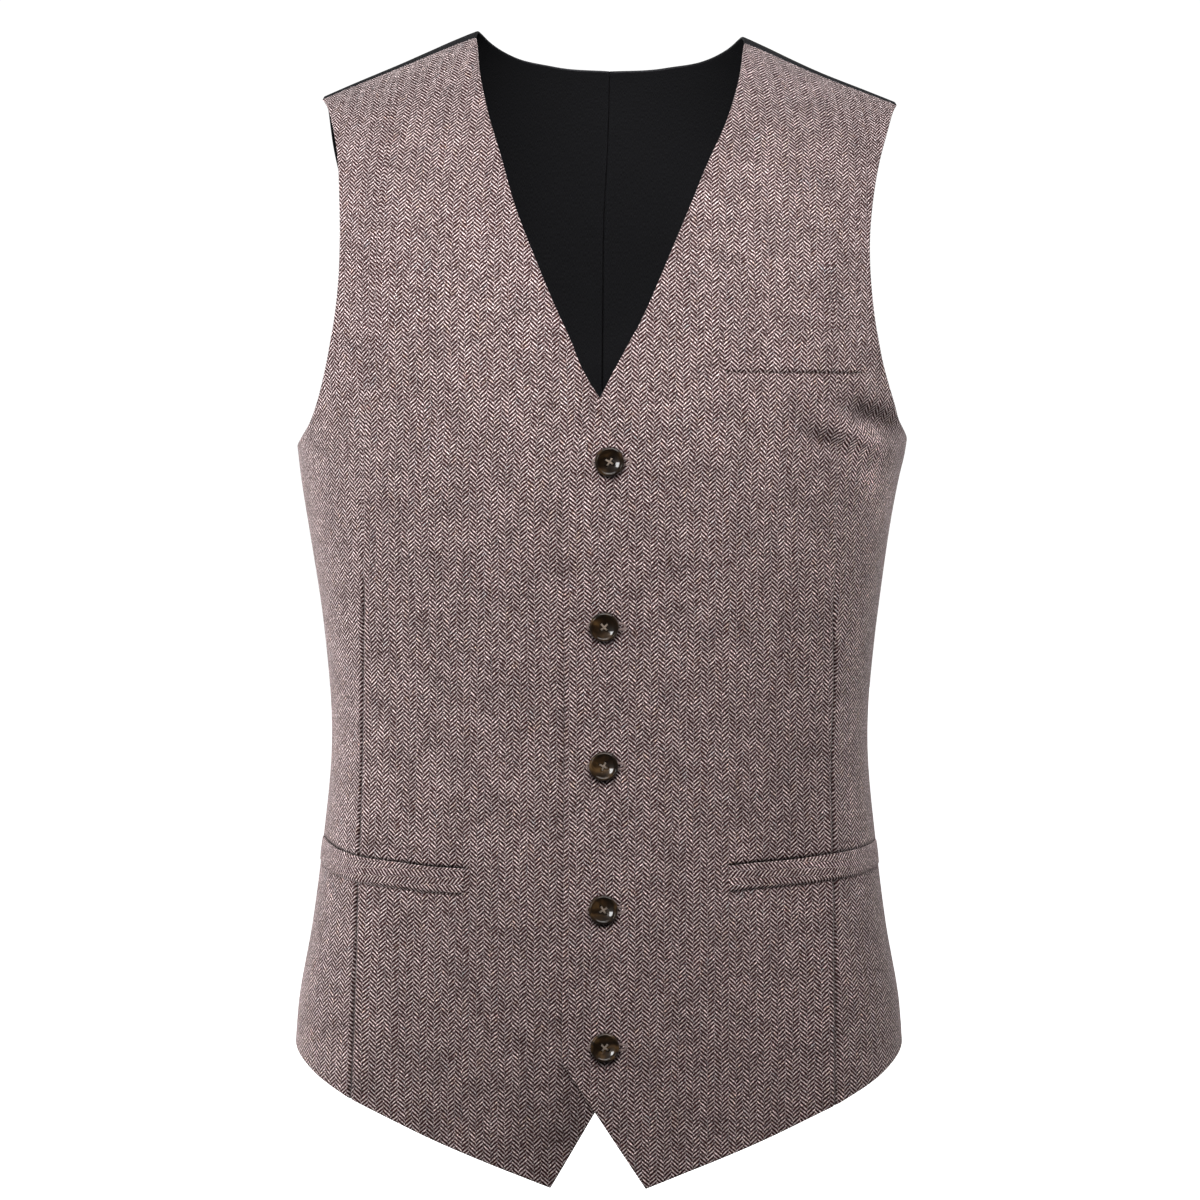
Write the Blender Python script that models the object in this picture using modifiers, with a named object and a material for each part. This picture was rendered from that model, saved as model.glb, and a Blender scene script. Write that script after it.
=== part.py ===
"""A single-breasted suit waistcoat with five buttons, hollow and upright as it is worn.

Two tweed fronts lap down the middle, the wearer's left one on top. Each front carries a
welted pocket at the waist, the left one a breast welt too, and two satin backs close the
form behind. Every piece of cloth is a thin wall laid on one torso form.

Metres, +Z up, the front faces -Y and the wearer's left is +X. The origin lies between the
two shoulders, where the wearer carries the garment.
"""

import math

import bmesh
import bpy
import numpy as np
from mathutils import Quaternion, Vector

MM = 0.001

# Cloth
FRONT_WALL = 2.0 * MM
BACK_WALL = 1.5 * MM
WELT_WALL = 1.2 * MM
SEAM_GAP = 0.3 * MM
LAP_GAP = 0.4 * MM

# Torso form. Below the spring line it is a stack of level rings. Above it the last ring
# rounds over to the top of the shoulder, like a squashed quarter circle seen from the side.
SPRING_HEIGHT = -150 * MM
RING_SQUARENESS = 2.3
SHOULDER_ROUNDING = 1.8
SHOULDER_RISE = 200 * MM  # length of wall from the spring line to the top of the shoulder
SHOULDER_SEAM_TURN = 78.2  # degrees of that rounding below the seam, which lies to the front
SIDE_SEAM_ANGLE = 97.0  # degrees round from the middle of the front
SIDE_RADIUS = 150 * MM
BACK_RADIUS = 100 * MM
MIDDLE_BACK_ANGLE = 180.0
ANGLE_STEP = 0.05  # degrees and metres either side of a point that give the form's slope
LEVEL_STEP = 0.1 * MM

# height, half width, depth in front, depth behind (mm)
RINGS = (
    (-650, 169.0, 104.0, 112.0),
    (-535, 167.0, 106.0, 112.0),
    (-513, 165.3, 106.5, 110.5),
    (-470, 158.0, 107.0, 104.0),
    (-425, 152.4, 106.5, 95.0),
    (-370, 147.8, 107.5, 89.5),
    (-315, 151.0, 113.0, 94.0),
    (-260, 158.4, 120.5, 103.0),
    (-216, 166.0, 124.5, 109.5),
    (-185, 171.5, 124.5, 112.5),
    (-150, 175.0, 121.0, 114.0),
)
# distance from the middle, height of the top of the shoulder (mm)
SHOULDER_LINE = ((0, 34.0), (40, 30.5), (74, 19.5), (115, 1.8), (157, -16.2), (190, -32.0))
# height, sideways lean of the form (mm): it hangs very slightly to the wearer's left
LEAN = (
    (-620, -0.8),
    (-480, -0.5),
    (-300, 0.0),
    (-222, 0.2),
    (-195, 1.8),
    (-165, 1.4),
    (-130, 1.6),
    (-78, 2.2),
    (-40, 4.2),
    (10, 5.6),
)

# Edges of a front: distance from the middle, height (mm). A front reaches past the middle
# by its lap. The under one's cutaway starts a little higher than the top one's.
NECK_CORNER = (-19.8, -221.0)
CUTAWAY = {
    1: ((25.2, -608.5), (-19.8, -541.0)),
    -1: ((25.9, -607.5), (-13.6, -541.0)),
}
FRONT_EDGE = {
    1: (CUTAWAY[1][-1], NECK_CORNER),
    -1: (CUTAWAY[-1][-1], (-18.2, -523.0), (-19.8, -495.0), NECK_CORNER),
}
NECK = (
    NECK_CORNER,
    (-10.0, -201.5),
    (0.0, -182.0),
    (14.9, -154.4),
    (29.9, -122.0),
    (47.2, -78.5),
    (54.8, -56.4),
    (63.4, -34.0),
    (69.6, -11.3),
)
NECK_END = 73.6
# degrees round, height (mm)
FRONT_ARMHOLE = (
    (SIDE_SEAM_ANGLE, -206.5),
    (90.0, -206.0),
    (83.0, -203.5),
    (77.0, -199.0),
    (73.0, -194.0),
    (69.0, -184.5),
    (66.0, -171.0),
    (63.5, -152.0),
    (61.8, -130.0),
    (61.1, -100.0),
    (61.8, -75.0),
    (63.2, -53.0),
    (65.5, -33.0),
)
BACK_ARMHOLE = (
    (SIDE_SEAM_ANGLE, -206.5),
    (104.0, -203.5),
    (110.0, -194.0),
    (114.5, -178.0),
    (117.5, -155.0),
    (118.5, -125.0),
    (118.0, -95.0),
    (116.5, -65.0),
    (114.0, -38.0),
)
SHOULDER_END = 157.8
FRONT_HEM = (
    (13.5, -608.5),
    (20.0, -603.7),
    (33.0, -593.3),
    (43.7, -583.3),
    (53.1, -573.0),
    (62.1, -562.8),
    (70.5, -553.0),
    (78.4, -543.6),
    (86.0, -536.8),
    (SIDE_SEAM_ANGLE, -530.5),
)
BACK_HEM = ((SIDE_SEAM_ANGLE, -530.5), (125.0, -542.0), (150.0, -551.0), (MIDDLE_BACK_ANGLE, -555.0))
# distance from the middle (mm), turn round the shoulder (degrees)
BACK_NECK = ((0.0, 57.5), (30.0, 59.5), (50.0, 64.0), (64.0, 72.5), (71.0, 84.0), (73.0, 94.0))

# Rows of faces along each stretch of a panel's edges, and columns across the panel. The
# hem's curve fades out of the rows over the last number.
FRONT_ROWS = {"cutaway": 4, "front": 18, "neck": 15, "hem": 7}
FRONT_COLUMNS = 18
BACK_ROWS = {"middle": 22, "neck": 7, "side": 14, "armhole": 15, "hem": 5}
BACK_COLUMNS = 12

# Lap of the fronts: the top one stands off the under one, and eases down beside it
LAP_FULL = 24 * MM
LAP_END = 50 * MM
LAP_LOW = -150 * MM
LAP_HIGH = -110 * MM

# Soft folds below the armholes: side of the wearer, middle across and height, slope in
# degrees, half length, half width, depth (mm), where a trough is negative
FOLDS = (
    (1, 149.0, -184.0, -26.0, 20.0, 8.0, -3.0),
    (1, 132.0, -197.0, -16.0, 22.0, 11.0, -1.8),
    (1, 139.0, -186.0, -22.0, 18.0, 8.0, 1.4),
    (-1, 146.0, -190.0, -24.0, 18.0, 10.0, -1.3),
)

# Pockets: degrees round and height (mm) of the mouth, from the inner end outwards
WAIST_MOUTH = {
    1: ((35.0, -434.5), (44.0, -432.5), (56.0, -430.0), (68.0, -426.0), (80.0, -421.5), (86.0, -419.0)),
    -1: ((36.5, -436.5), (45.0, -434.5), (56.0, -432.0), (68.0, -430.0), (80.0, -424.0), (86.0, -421.0)),
}
WAIST_WELT_HEIGHT = 13.8 * MM
BREAST_MOUTH = ((29.0, -148.0), (45.0, -148.0), (59.4, -147.2))
BREAST_WELT_HEIGHT = 22.5 * MM
WELT_COLUMNS = 12
WELT_ROWS = 2

# Buttons: distance from the middle, height (mm), turn of the four holes (degrees)
BUTTON_PLACES = (
    (4.8, -220.0, 12.0),
    (2.2, -307.5, -4.0),
    (2.2, -382.5, 20.0),
    (2.2, -459.5, -14.0),
    (3.2, -533.0, 6.0),
)
# radius, height (mm), from the middle of the bowl over the rim to the underside
BUTTON_PROFILE = (
    (0.0, 1.6),
    (2.6, 1.7),
    (4.6, 2.1),
    (6.0, 2.8),
    (6.7, 3.4),
    (7.2, 3.4),
    (7.55, 2.8),
    (7.3, 1.6),
    (6.0, 0.4),
    (0.0, 0.0),
)
BUTTON_STEPS = 24
BUTTON_MERGE = 0.01 * MM
HOLE_RADIUS = 0.85 * MM
HOLE_OFFSET = 1.55 * MM
HOLE_DEPTH = 8 * MM
HOLE_STEPS = 8

SHARP_EDGE = math.radians(40)


# ---- Curves and the torso form ----


def through(at, table, column):
    """A smooth curve through one column of a table, read at values of its first column."""
    data = np.array(table, dtype=float)
    knots, values = data[:, 0], data[:, column]
    slopes = np.gradient(values, knots)
    low = np.clip(np.searchsorted(knots, at) - 1, 0, len(knots) - 2)
    span = knots[low + 1] - knots[low]
    t = np.clip((at - knots[low]) / span, 0, 1)
    start = (1 + 2 * t) * (1 - t) ** 2 * values[low] + t * (1 - t) ** 2 * span * slopes[low]
    end = t * t * (3 - 2 * t) * values[low + 1] + t * t * (t - 1) * span * slopes[low + 1]
    return start + end


def eased(value, start, end):
    """0 at start, 1 at end, with a soft slope between."""
    t = np.clip((value - start) / (end - start), 0, 1)
    return t * t * (3 - 2 * t)


def signed_power(value, exponent):
    return np.sign(value) * np.abs(value) ** exponent


def ring_depths(height):
    """Half width, front depth and back depth of the torso ring at a height."""
    return tuple(through(height / MM, RINGS, column) * MM for column in (1, 2, 3))


def torso(angle, level):
    """Points of the torso form. angle is in degrees round from the middle of the front,
    positive to the wearer's left. level is the height above the spring line, and above it
    the length of wall over the shoulder."""
    turn = np.radians(angle)
    width, front, back = ring_depths(SPRING_HEIGHT + np.minimum(level, 0))
    near = np.where(np.cos(turn) >= 0, front, back)
    far = np.where(np.cos(turn) >= 0, back, front)
    reach = (
        (np.abs(np.sin(turn)) / width) ** RING_SQUARENESS
        + (np.abs(np.cos(turn)) / near) ** RING_SQUARENESS
    ) ** (-1 / RING_SQUARENESS)
    across = reach * np.sin(turn)
    depth = -reach * np.cos(turn)

    over = np.maximum(level, 0) / SHOULDER_RISE * math.pi / 2
    forward = signed_power(np.cos(over), 2 / SHOULDER_ROUNDING)
    upward = signed_power(np.sin(over), 2 / SHOULDER_ROUNDING)
    depth = depth * forward * np.where(forward < 0, far / near, 1)
    shoulder = through(np.abs(across) / MM, SHOULDER_LINE, 1) * MM
    height = SPRING_HEIGHT + np.minimum(level, 0) + (shoulder - SPRING_HEIGHT) * upward
    lean = through(height / MM, LEAN, 1) * MM
    return np.stack([across + lean, depth, height], axis=-1)


def off_torso(angle, level, out):
    """Points that stand out from the torso form by a distance, square to it."""
    across = torso(angle + ANGLE_STEP, level) - torso(angle - ANGLE_STEP, level)
    upward = torso(angle, level + LEVEL_STEP) - torso(angle, level - LEVEL_STEP)
    normal = np.cross(across, upward)
    normal /= np.linalg.norm(normal, axis=-1, keepdims=True)
    return torso(angle, level) + normal * np.asarray(out)[..., None]


def level_of(height, across):
    """The level of a point of the form from its height and its distance from the middle."""
    shoulder = through(np.abs(across) / MM, SHOULDER_LINE, 1) * MM
    share = np.clip((height - SPRING_HEIGHT) / (shoulder - SPRING_HEIGHT), 0, 1)
    over = np.arcsin(share ** (SHOULDER_ROUNDING / 2)) / (math.pi / 2) * SHOULDER_RISE
    return np.where(height < SPRING_HEIGHT, height - SPRING_HEIGHT, over)


def angle_of(across, level, behind=False):
    """Degrees round of a point at a distance from the middle, on the front or behind."""
    width, front, back = ring_depths(SPRING_HEIGHT + np.minimum(level, 0))
    share = 1 - (np.abs(across) / width) ** RING_SQUARENESS
    depth = share ** (1 / RING_SQUARENESS) * (back if behind else front)
    angle = np.degrees(np.arctan2(across, depth))
    return MIDDLE_BACK_ANGLE - angle if behind else angle


# ---- Edges, as rows of (degrees round, level) ----


def from_across(table):
    """Edge points on the front from (distance from the middle, height) in mm."""
    across, height = (np.array(column) * MM for column in zip(*table))
    level = level_of(height, across)
    return np.stack([angle_of(across, level), level], axis=-1)


def from_angles(table):
    """Edge points from (degrees round, height in mm)."""
    angle, height = (np.array(column, dtype=float) for column in zip(*table))
    top_ring_across = torso(angle, np.zeros_like(angle))[:, 0] - through(SPRING_HEIGHT / MM, LEAN, 1) * MM
    return np.stack([angle, level_of(height * MM, top_ring_across)], axis=-1)


def shoulder_level(turn):
    """Level at a turn in degrees over the shoulder."""
    return turn / 90 * SHOULDER_RISE


def along(points, count):
    """Evenly spaced points on the smooth curve through edge points, count + 1 in all."""
    place = torso(points[:, 0], points[:, 1])
    length = np.concatenate([[0], np.cumsum(np.linalg.norm(np.diff(place, axis=0), axis=1))])
    table = np.column_stack([length, points])
    at = np.linspace(0, length[-1], count + 1)
    return np.stack([through(at, table, 1), through(at, table, 2)], axis=-1)


def joined(*stretches):
    """One edge from stretches that share their end points."""
    return np.concatenate([stretches[0]] + [stretch[1:] for stretch in stretches[1:]])


# ---- Panels ----


def panel(inner, outer, columns, hem, hem_rows):
    """Degrees round and level over a panel, rows upwards and columns from its inner edge
    to its outer edge. The lowest rows fan out from the hem's own curve."""
    share = np.linspace(0, 1, columns + 1)[None, :, None]
    grid = inner[:, None, :] * (1 - share) + outer[:, None, :] * share
    rows = np.arange(len(inner))
    pull = (1 - eased(rows, 0, hem_rows))[:, None]
    lowest = grid[0]
    hem_level = through(lowest[:, 0], hem, 1) * MM - SPRING_HEIGHT
    grid[..., 1] += pull * (hem_level - lowest[:, 1])[None, :]
    return grid[..., 0], grid[..., 1]


def fold_depth(side, across, height):
    """How far the soft folds push a front's face in or out."""
    total = np.zeros_like(across)
    for fold_side, middle, up, slope, length, width, depth in FOLDS:
        if fold_side != side:
            continue
        lean = math.radians(slope)
        beside, above = across - middle * MM, height - up * MM
        run = beside * math.cos(lean) + above * math.sin(lean)
        off = above * math.cos(lean) - beside * math.sin(lean)
        total += depth * MM * np.exp(-((run / (length * MM)) ** 2) - (off / (width * MM)) ** 2)
    return total


def front_out(side, angle, level):
    """How far a front's outer face stands off the torso form. The angle is counted from
    the middle towards this front's own side."""
    place = torso(angle, level)
    across, height = place[..., 0], place[..., 2]
    out = fold_depth(side, across, height)
    if side > 0:
        beside = 1 - eased(across, LAP_FULL, LAP_END)
        below = 1 - eased(height, LAP_LOW, LAP_HIGH)
        out = out + (FRONT_WALL + LAP_GAP) * beside * below
    return out


def seam_angle(radius):
    """Half a seam's gap, in degrees round the form at a radius."""
    return math.degrees(SEAM_GAP / 2 / radius)


def shoulder_ends(top, behind=False):
    """The neck end and the armhole end of a shoulder seam at a level."""
    across = np.array([NECK_END, SHOULDER_END]) * MM
    level = np.full(2, top)
    return np.stack([angle_of(across, level, behind), level], axis=-1)


def front_place(side):
    """A front's degrees round, level and distance out."""
    rows = FRONT_ROWS
    body_rows = rows["cutaway"] + rows["front"]
    neck_top, arm_top = shoulder_ends(shoulder_level(SHOULDER_SEAM_TURN) - SEAM_GAP / 2)
    neck = np.concatenate([from_across(NECK), [neck_top]])
    armhole = np.concatenate([from_angles(FRONT_ARMHOLE), [arm_top]])
    side_seam = from_angles((FRONT_HEM[-1], FRONT_ARMHOLE[0]))
    inner = joined(
        along(from_across(CUTAWAY[side]), rows["cutaway"]),
        along(from_across(FRONT_EDGE[side]), rows["front"]),
        along(neck, rows["neck"]),
    )
    outer = joined(along(side_seam, body_rows), along(armhole, rows["neck"]))
    outer[: body_rows + 1, 0] -= seam_angle(SIDE_RADIUS)
    angle, level = panel(inner, outer, FRONT_COLUMNS, FRONT_HEM, rows["hem"])
    return side * angle, level, front_out(side, angle, level)


def back_place(side):
    """A back's degrees round, level and distance out. It reaches over the top of the
    shoulder to the seam in front of it."""
    rows = BACK_ROWS
    middle = MIDDLE_BACK_ANGLE - seam_angle(BACK_RADIUS)
    seam_level = shoulder_level(180 - SHOULDER_SEAM_TURN) - SEAM_GAP / 2
    neck_top, arm_top = shoulder_ends(seam_level, behind=True)
    across, turn = (np.array(column) for column in zip(*BACK_NECK))
    level = shoulder_level(turn)
    neck = np.stack([angle_of(across * MM, level, behind=True), level], axis=-1)
    neck = np.concatenate([neck, [neck_top]])
    armhole = np.concatenate([from_angles(BACK_ARMHOLE), [arm_top]])
    middle_seam = np.array([[middle, BACK_HEM[-1][1] * MM - SPRING_HEIGHT], neck[0]])
    side_seam = from_angles((BACK_HEM[0], BACK_ARMHOLE[0]))
    inner = joined(along(middle_seam, rows["middle"]), along(neck, rows["neck"]))
    inner[: rows["middle"] + 1, 0] = middle
    outer = joined(along(side_seam, rows["side"]), along(armhole, rows["armhole"]))
    outer[: rows["side"] + 1, 0] += seam_angle(SIDE_RADIUS)
    angle, level = panel(inner, outer, BACK_COLUMNS, BACK_HEM, rows["hem"])
    return side * angle, level, np.zeros_like(angle)


# ---- Blender objects ----


def material(name, color, roughness):
    made = bpy.data.materials.new(name)
    made.use_nodes = True
    shader = made.node_tree.nodes["Principled BSDF"]
    shader.inputs["Base Color"].default_value = (*color, 1)
    shader.inputs["Roughness"].default_value = roughness
    shader.inputs["Metallic"].default_value = 0
    return made


def finished(mesh, finish):
    """The mesh in its material, smooth but for its sharp edges."""
    mesh.materials.append(finish)
    mesh.shade_smooth()
    mesh.set_sharp_from_angle(angle=SHARP_EDGE)
    return mesh


def add_object(name, mesh, group, holder):
    made = bpy.data.objects.new(name, mesh)
    group.objects.link(made)
    made.parent = holder
    return made


def cloth(name, place, wall, group, holder, finish):
    """A piece of cloth from its (degrees round, level, distance out): a grid extruded to
    a second one behind it, both square to the torso form, so that seams stay parallel."""
    angle, level, out = place
    rows, columns = angle.shape[0] - 1, angle.shape[1] - 1
    form = bmesh.new()
    bmesh.ops.create_grid(form, x_segments=columns, y_segments=rows, size=0.5)
    outside = form.verts[:]
    grown = bmesh.ops.extrude_face_region(form, geom=form.faces[:], use_keep_orig=True)
    inside = [item for item in grown["geom"] if isinstance(item, bmesh.types.BMVert)]
    for verts, depth in ((outside, 0), (inside, wall)):
        points = off_torso(angle, level, out - depth)
        for vert in verts:
            column = round((vert.co.x + 0.5) * columns)
            row = round((vert.co.y + 0.5) * rows)
            vert.co = points[row, column]
    bmesh.ops.recalc_face_normals(form, faces=form.faces[:])
    if form.calc_volume(signed=True) < 0:
        bmesh.ops.reverse_faces(form, faces=form.faces[:])
    mesh = bpy.data.meshes.new(name)
    form.to_mesh(mesh)
    form.free()
    add_object(name, finished(mesh, finish), group, holder)


def welt_place(side, mouth, height):
    """A welt laid on its front: the front's own points, moved out."""
    angle = np.linspace(mouth[0][0], mouth[-1][0], WELT_COLUMNS + 1)
    top = through(angle, mouth, 1) * MM - SPRING_HEIGHT
    drop = np.linspace(-height, 0, WELT_ROWS + 1)[:, None]
    level = top[None, :] + drop
    angle = np.broadcast_to(angle, level.shape)
    return side * angle, level, front_out(side, angle, level) + SEAM_GAP + WELT_WALL


def button_mesh():
    """A turned button with a raised rim, a bowl in the middle and four holes."""
    profile = bpy.data.meshes.new("button_profile")
    points = [(radius * MM, 0, height * MM) for radius, height in BUTTON_PROFILE]
    profile.from_pydata(points, [(i, i + 1) for i in range(len(points) - 1)], [])
    turned = bpy.data.objects.new("button_form", profile)
    bpy.context.scene.collection.objects.link(turned)
    screw = turned.modifiers.new("turn", "SCREW")
    screw.steps = screw.render_steps = BUTTON_STEPS
    screw.use_merge_vertices = True
    screw.merge_threshold = BUTTON_MERGE

    drill = bmesh.new()
    for x in (-HOLE_OFFSET, HOLE_OFFSET):
        for y in (-HOLE_OFFSET, HOLE_OFFSET):
            made = bmesh.ops.create_cone(
                drill,
                cap_ends=True,
                segments=HOLE_STEPS,
                radius1=HOLE_RADIUS,
                radius2=HOLE_RADIUS,
                depth=HOLE_DEPTH,
            )
            bmesh.ops.translate(drill, verts=made["verts"], vec=(x, y, 0))
    cutter_mesh = bpy.data.meshes.new("hole_cutter")
    drill.to_mesh(cutter_mesh)
    drill.free()
    cutter = bpy.data.objects.new("hole_cutter", cutter_mesh)
    bpy.context.scene.collection.objects.link(cutter)
    cut = turned.modifiers.new("holes", "BOOLEAN")
    cut.object = cutter

    evaluated = turned.evaluated_get(bpy.context.evaluated_depsgraph_get())
    mesh = bpy.data.meshes.new_from_object(evaluated)
    mesh.name = "button"
    for helper in (turned, cutter):
        bpy.data.objects.remove(helper)
    return mesh


def add_button(name, place, mesh, group, holder):
    across, height, turn = place[0] * MM, place[1] * MM, math.radians(place[2])
    level = np.array([height - SPRING_HEIGHT])
    angle = angle_of(np.array([across]), level)
    out = front_out(1, angle, level) + SEAM_GAP
    seat = Vector(off_torso(angle, level, out)[0])
    outside = Vector(off_torso(angle, level, out + MM)[0]) - seat
    facing = outside.to_track_quat("Z", "Y")
    made = add_object(name, mesh, group, holder)
    made.location = seat
    made.rotation_euler = (facing @ Quaternion((0, 0, 1), turn)).to_euler()


def main():
    for old in list(bpy.data.objects):
        bpy.data.objects.remove(old)
    group = bpy.data.collections.new("suit_waistcoat")
    bpy.context.scene.collection.children.link(group)
    holder = bpy.data.objects.new("suit_waistcoat", None)
    group.objects.link(holder)

    tweed = material("herringbone_tweed", (0.205, 0.150, 0.139), 0.9)
    satin = material("black_satin", (0.008, 0.008, 0.009), 0.35)
    horn = material("dark_horn", (0.022, 0.016, 0.010), 0.25)

    for side, name in ((1, "left"), (-1, "right")):
        cloth(f"front_{name}", front_place(side), FRONT_WALL, group, holder, tweed)
        cloth(f"back_{name}", back_place(side), BACK_WALL, group, holder, satin)
        welt = welt_place(side, WAIST_MOUTH[side], WAIST_WELT_HEIGHT)
        cloth(f"welt_{name}", welt, WELT_WALL, group, holder, tweed)
    breast = welt_place(1, BREAST_MOUTH, BREAST_WELT_HEIGHT)
    cloth("welt_breast", breast, WELT_WALL, group, holder, tweed)

    mesh = finished(button_mesh(), horn)
    for number, place in enumerate(BUTTON_PLACES, start=1):
        add_button(f"button_{number}", place, mesh, group, holder)


main()
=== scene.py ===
"""Dresses the suit waistcoat: herringbone tweed fronts and welts, satin backs, horn buttons
with their thread and buttonholes, a pale studio and a camera.

Cloth is laid on one torso form. A point of it is given by its degrees round the form from
the middle of the front and by its level, the height above the spring line of the shoulders
and, above that line, the length of cloth over the shoulder.
"""

import math

import bpy
import numpy as np
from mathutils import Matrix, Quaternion, Vector


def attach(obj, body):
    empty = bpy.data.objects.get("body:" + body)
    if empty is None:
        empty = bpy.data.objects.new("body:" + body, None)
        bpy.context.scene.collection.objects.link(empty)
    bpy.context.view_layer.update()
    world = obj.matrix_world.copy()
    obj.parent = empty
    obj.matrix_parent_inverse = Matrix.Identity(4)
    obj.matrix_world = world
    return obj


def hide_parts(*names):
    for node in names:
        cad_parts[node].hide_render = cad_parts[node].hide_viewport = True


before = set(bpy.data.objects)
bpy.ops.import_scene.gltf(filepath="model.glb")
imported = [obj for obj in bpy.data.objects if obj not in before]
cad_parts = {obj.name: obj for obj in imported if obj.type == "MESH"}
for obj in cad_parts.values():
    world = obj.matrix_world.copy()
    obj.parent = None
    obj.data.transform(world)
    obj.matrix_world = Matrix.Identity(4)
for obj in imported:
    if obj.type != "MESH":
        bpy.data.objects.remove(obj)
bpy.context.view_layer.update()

MM = 0.001

# ---- The torso form ----

SPRING_HEIGHT = -150 * MM
RING_SQUARENESS = 2.3
SHOULDER_ROUNDING = 1.8
SPRING_ROUNDING = 14 * MM
SHOULDER_RISE = 200 * MM
SHOULDER_SEAM_TURN = np.array((77.2, 81.2))  # at the neck end and at the armhole end
SHOULDER_SLOPE = math.radians(23.3)
SIDE_SEAM_ANGLE = 97.0
MIDDLE_BACK_ANGLE = 180.0
ANGLE_STEP = 0.05
LEVEL_STEP = 0.1 * MM

# height, half width, depth in front, depth behind (mm)
RINGS = (
    (-650, 169.0, 104.0, 112.0),
    (-535, 167.0, 106.0, 112.0),
    (-513, 165.3, 106.5, 110.5),
    (-470, 158.0, 107.0, 104.0),
    (-425, 152.4, 106.5, 95.0),
    (-370, 147.8, 107.5, 89.5),
    (-315, 151.0, 113.0, 94.0),
    (-260, 158.4, 120.5, 103.0),
    (-216, 166.0, 124.5, 109.5),
    (-185, 171.5, 124.5, 112.5),
    (-150, 175.0, 121.0, 114.0),
)
# distance from the middle, height of the top of the shoulder (mm)
SHOULDER_LINE = ((0, 34.0), (40, 30.5), (74, 19.5), (115, 1.8), (157, -16.2), (190, -32.0))
# distance to the wearer's left, how much lower that shoulder is carried (mm)
SHOULDER_DROP = (
    (0, 0.0), (40, 1.0), (70, 2.6), (85, 3.4), (105, 4.2), (125, 4.2), (145, 3.5), (165, 2.6),
)
# height, sideways lean of the form (mm)
LEAN = (
    (-620, -0.8), (-480, -0.5), (-300, 0.0), (-222, 0.2), (-195, 1.8), (-165, 1.4), (-130, 1.6),
    (-78, 2.2), (-40, 4.2), (10, 5.6),
)

# ---- Edges of the panels ----

# distance from the middle, height (mm)
NECK_CORNER = (-19.8, -221.0)
CUTAWAY = {
    1: ((25.2, -608.5), (-19.8, -541.0)),
    -1: ((25.9, -607.5), (-13.6, -541.0)),
}
FRONT_EDGE = {
    1: (CUTAWAY[1][-1], NECK_CORNER),
    -1: (CUTAWAY[-1][-1], (-18.2, -523.0), (-19.8, -495.0), NECK_CORNER),
}
NECK = {
    1: (
        NECK_CORNER,
        (-10.0, -201.5), (0.0, -182.0), (14.9, -154.4), (29.9, -122.0), (47.2, -78.5),
        (54.8, -56.4), (63.4, -34.0), (69.6, -11.3),
    ),
    -1: (
        NECK_CORNER,
        (-10.5, -205.0), (-2.0, -191.0), (5.6, -179.5), (10.8, -169.9), (17.0, -154.4),
        (31.6, -122.0), (48.7, -78.5), (56.0, -56.4), (63.8, -34.0), (69.6, -11.3),
    ),
}
NECK_END = 73.6
SHOULDER_END = {1: 158.2, -1: 157.4}
# degrees round, height (mm)
FRONT_ARMHOLE = {
    1: (
        (SIDE_SEAM_ANGLE, -206.5), (90.0, -206.0), (83.0, -203.5), (77.2, -199.0), (73.3, -194.0),
        (69.5, -184.5), (66.6, -171.0), (64.3, -152.0), (62.6, -130.0), (61.9, -100.0),
        (62.6, -75.0), (63.9, -53.0), (66.2, -33.0),
    ),
    -1: (
        (SIDE_SEAM_ANGLE, -206.5), (90.0, -208.5), (83.0, -207.3), (77.0, -203.0), (73.0, -198.0),
        (69.0, -188.3), (65.6, -173.0), (63.3, -153.0), (61.7, -130.0), (61.1, -100.0),
        (61.6, -75.0), (62.8, -53.0), (65.0, -33.0),
    ),
}
BACK_ARMHOLE = (
    (SIDE_SEAM_ANGLE, -206.5), (104.0, -203.5), (110.0, -194.0), (114.5, -178.0), (117.5, -155.0),
    (118.5, -125.0), (117.7, -95.0), (115.8, -65.0), (112.7, -38.0),
)
FRONT_HEM = (
    (13.5, -608.5), (20.0, -603.7), (33.0, -593.3), (43.7, -583.3), (53.1, -573.0), (62.1, -562.8),
    (70.5, -553.0), (78.4, -543.6), (86.0, -536.8), (SIDE_SEAM_ANGLE, -530.5),
)
BACK_HEM = ((SIDE_SEAM_ANGLE, -530.5), (125.0, -542.0), (150.0, -551.0), (MIDDLE_BACK_ANGLE, -555.0))
# distance from the middle (mm), turn round the shoulder (degrees)
BACK_NECK = ((0.0, 57.5), (30.0, 59.5), (50.0, 64.0), (64.0, 72.5), (71.0, 84.0), (73.0, 94.0))

# ---- Cloth ----

FRONT_WALL = 2.0 * MM
BACK_WALL = 1.5 * MM
WELT_WALL = 1.2 * MM
SEAM_GAP = 0.3 * MM
LAP_GAP = 0.4 * MM
LAP_FULL = 24 * MM
LAP_END = 50 * MM
LAP_LOW = -150 * MM
LAP_HIGH = -110 * MM
# The painted shadow beside the lap's edge: (share, width) of its narrow line and of its broad
# spread, and how much it fades between two heights
LAP_SHADE = ((0.24, 0.9 * MM), (0.12, 3.5 * MM))
LAP_SHADE_FADE = 0.8
LAP_SHADE_HEIGHTS = (-330 * MM, -225 * MM)
TURNING = 7 * MM  # width of the outer cloth that is turned in along an edge

# Size of the faces, and the finer steps beside edges and seams
FACE = 3.0 * MM
FINE_STEPS = (0.25 * MM, 0.6 * MM, 1.1 * MM, 1.8 * MM, 2.8 * MM)

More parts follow.
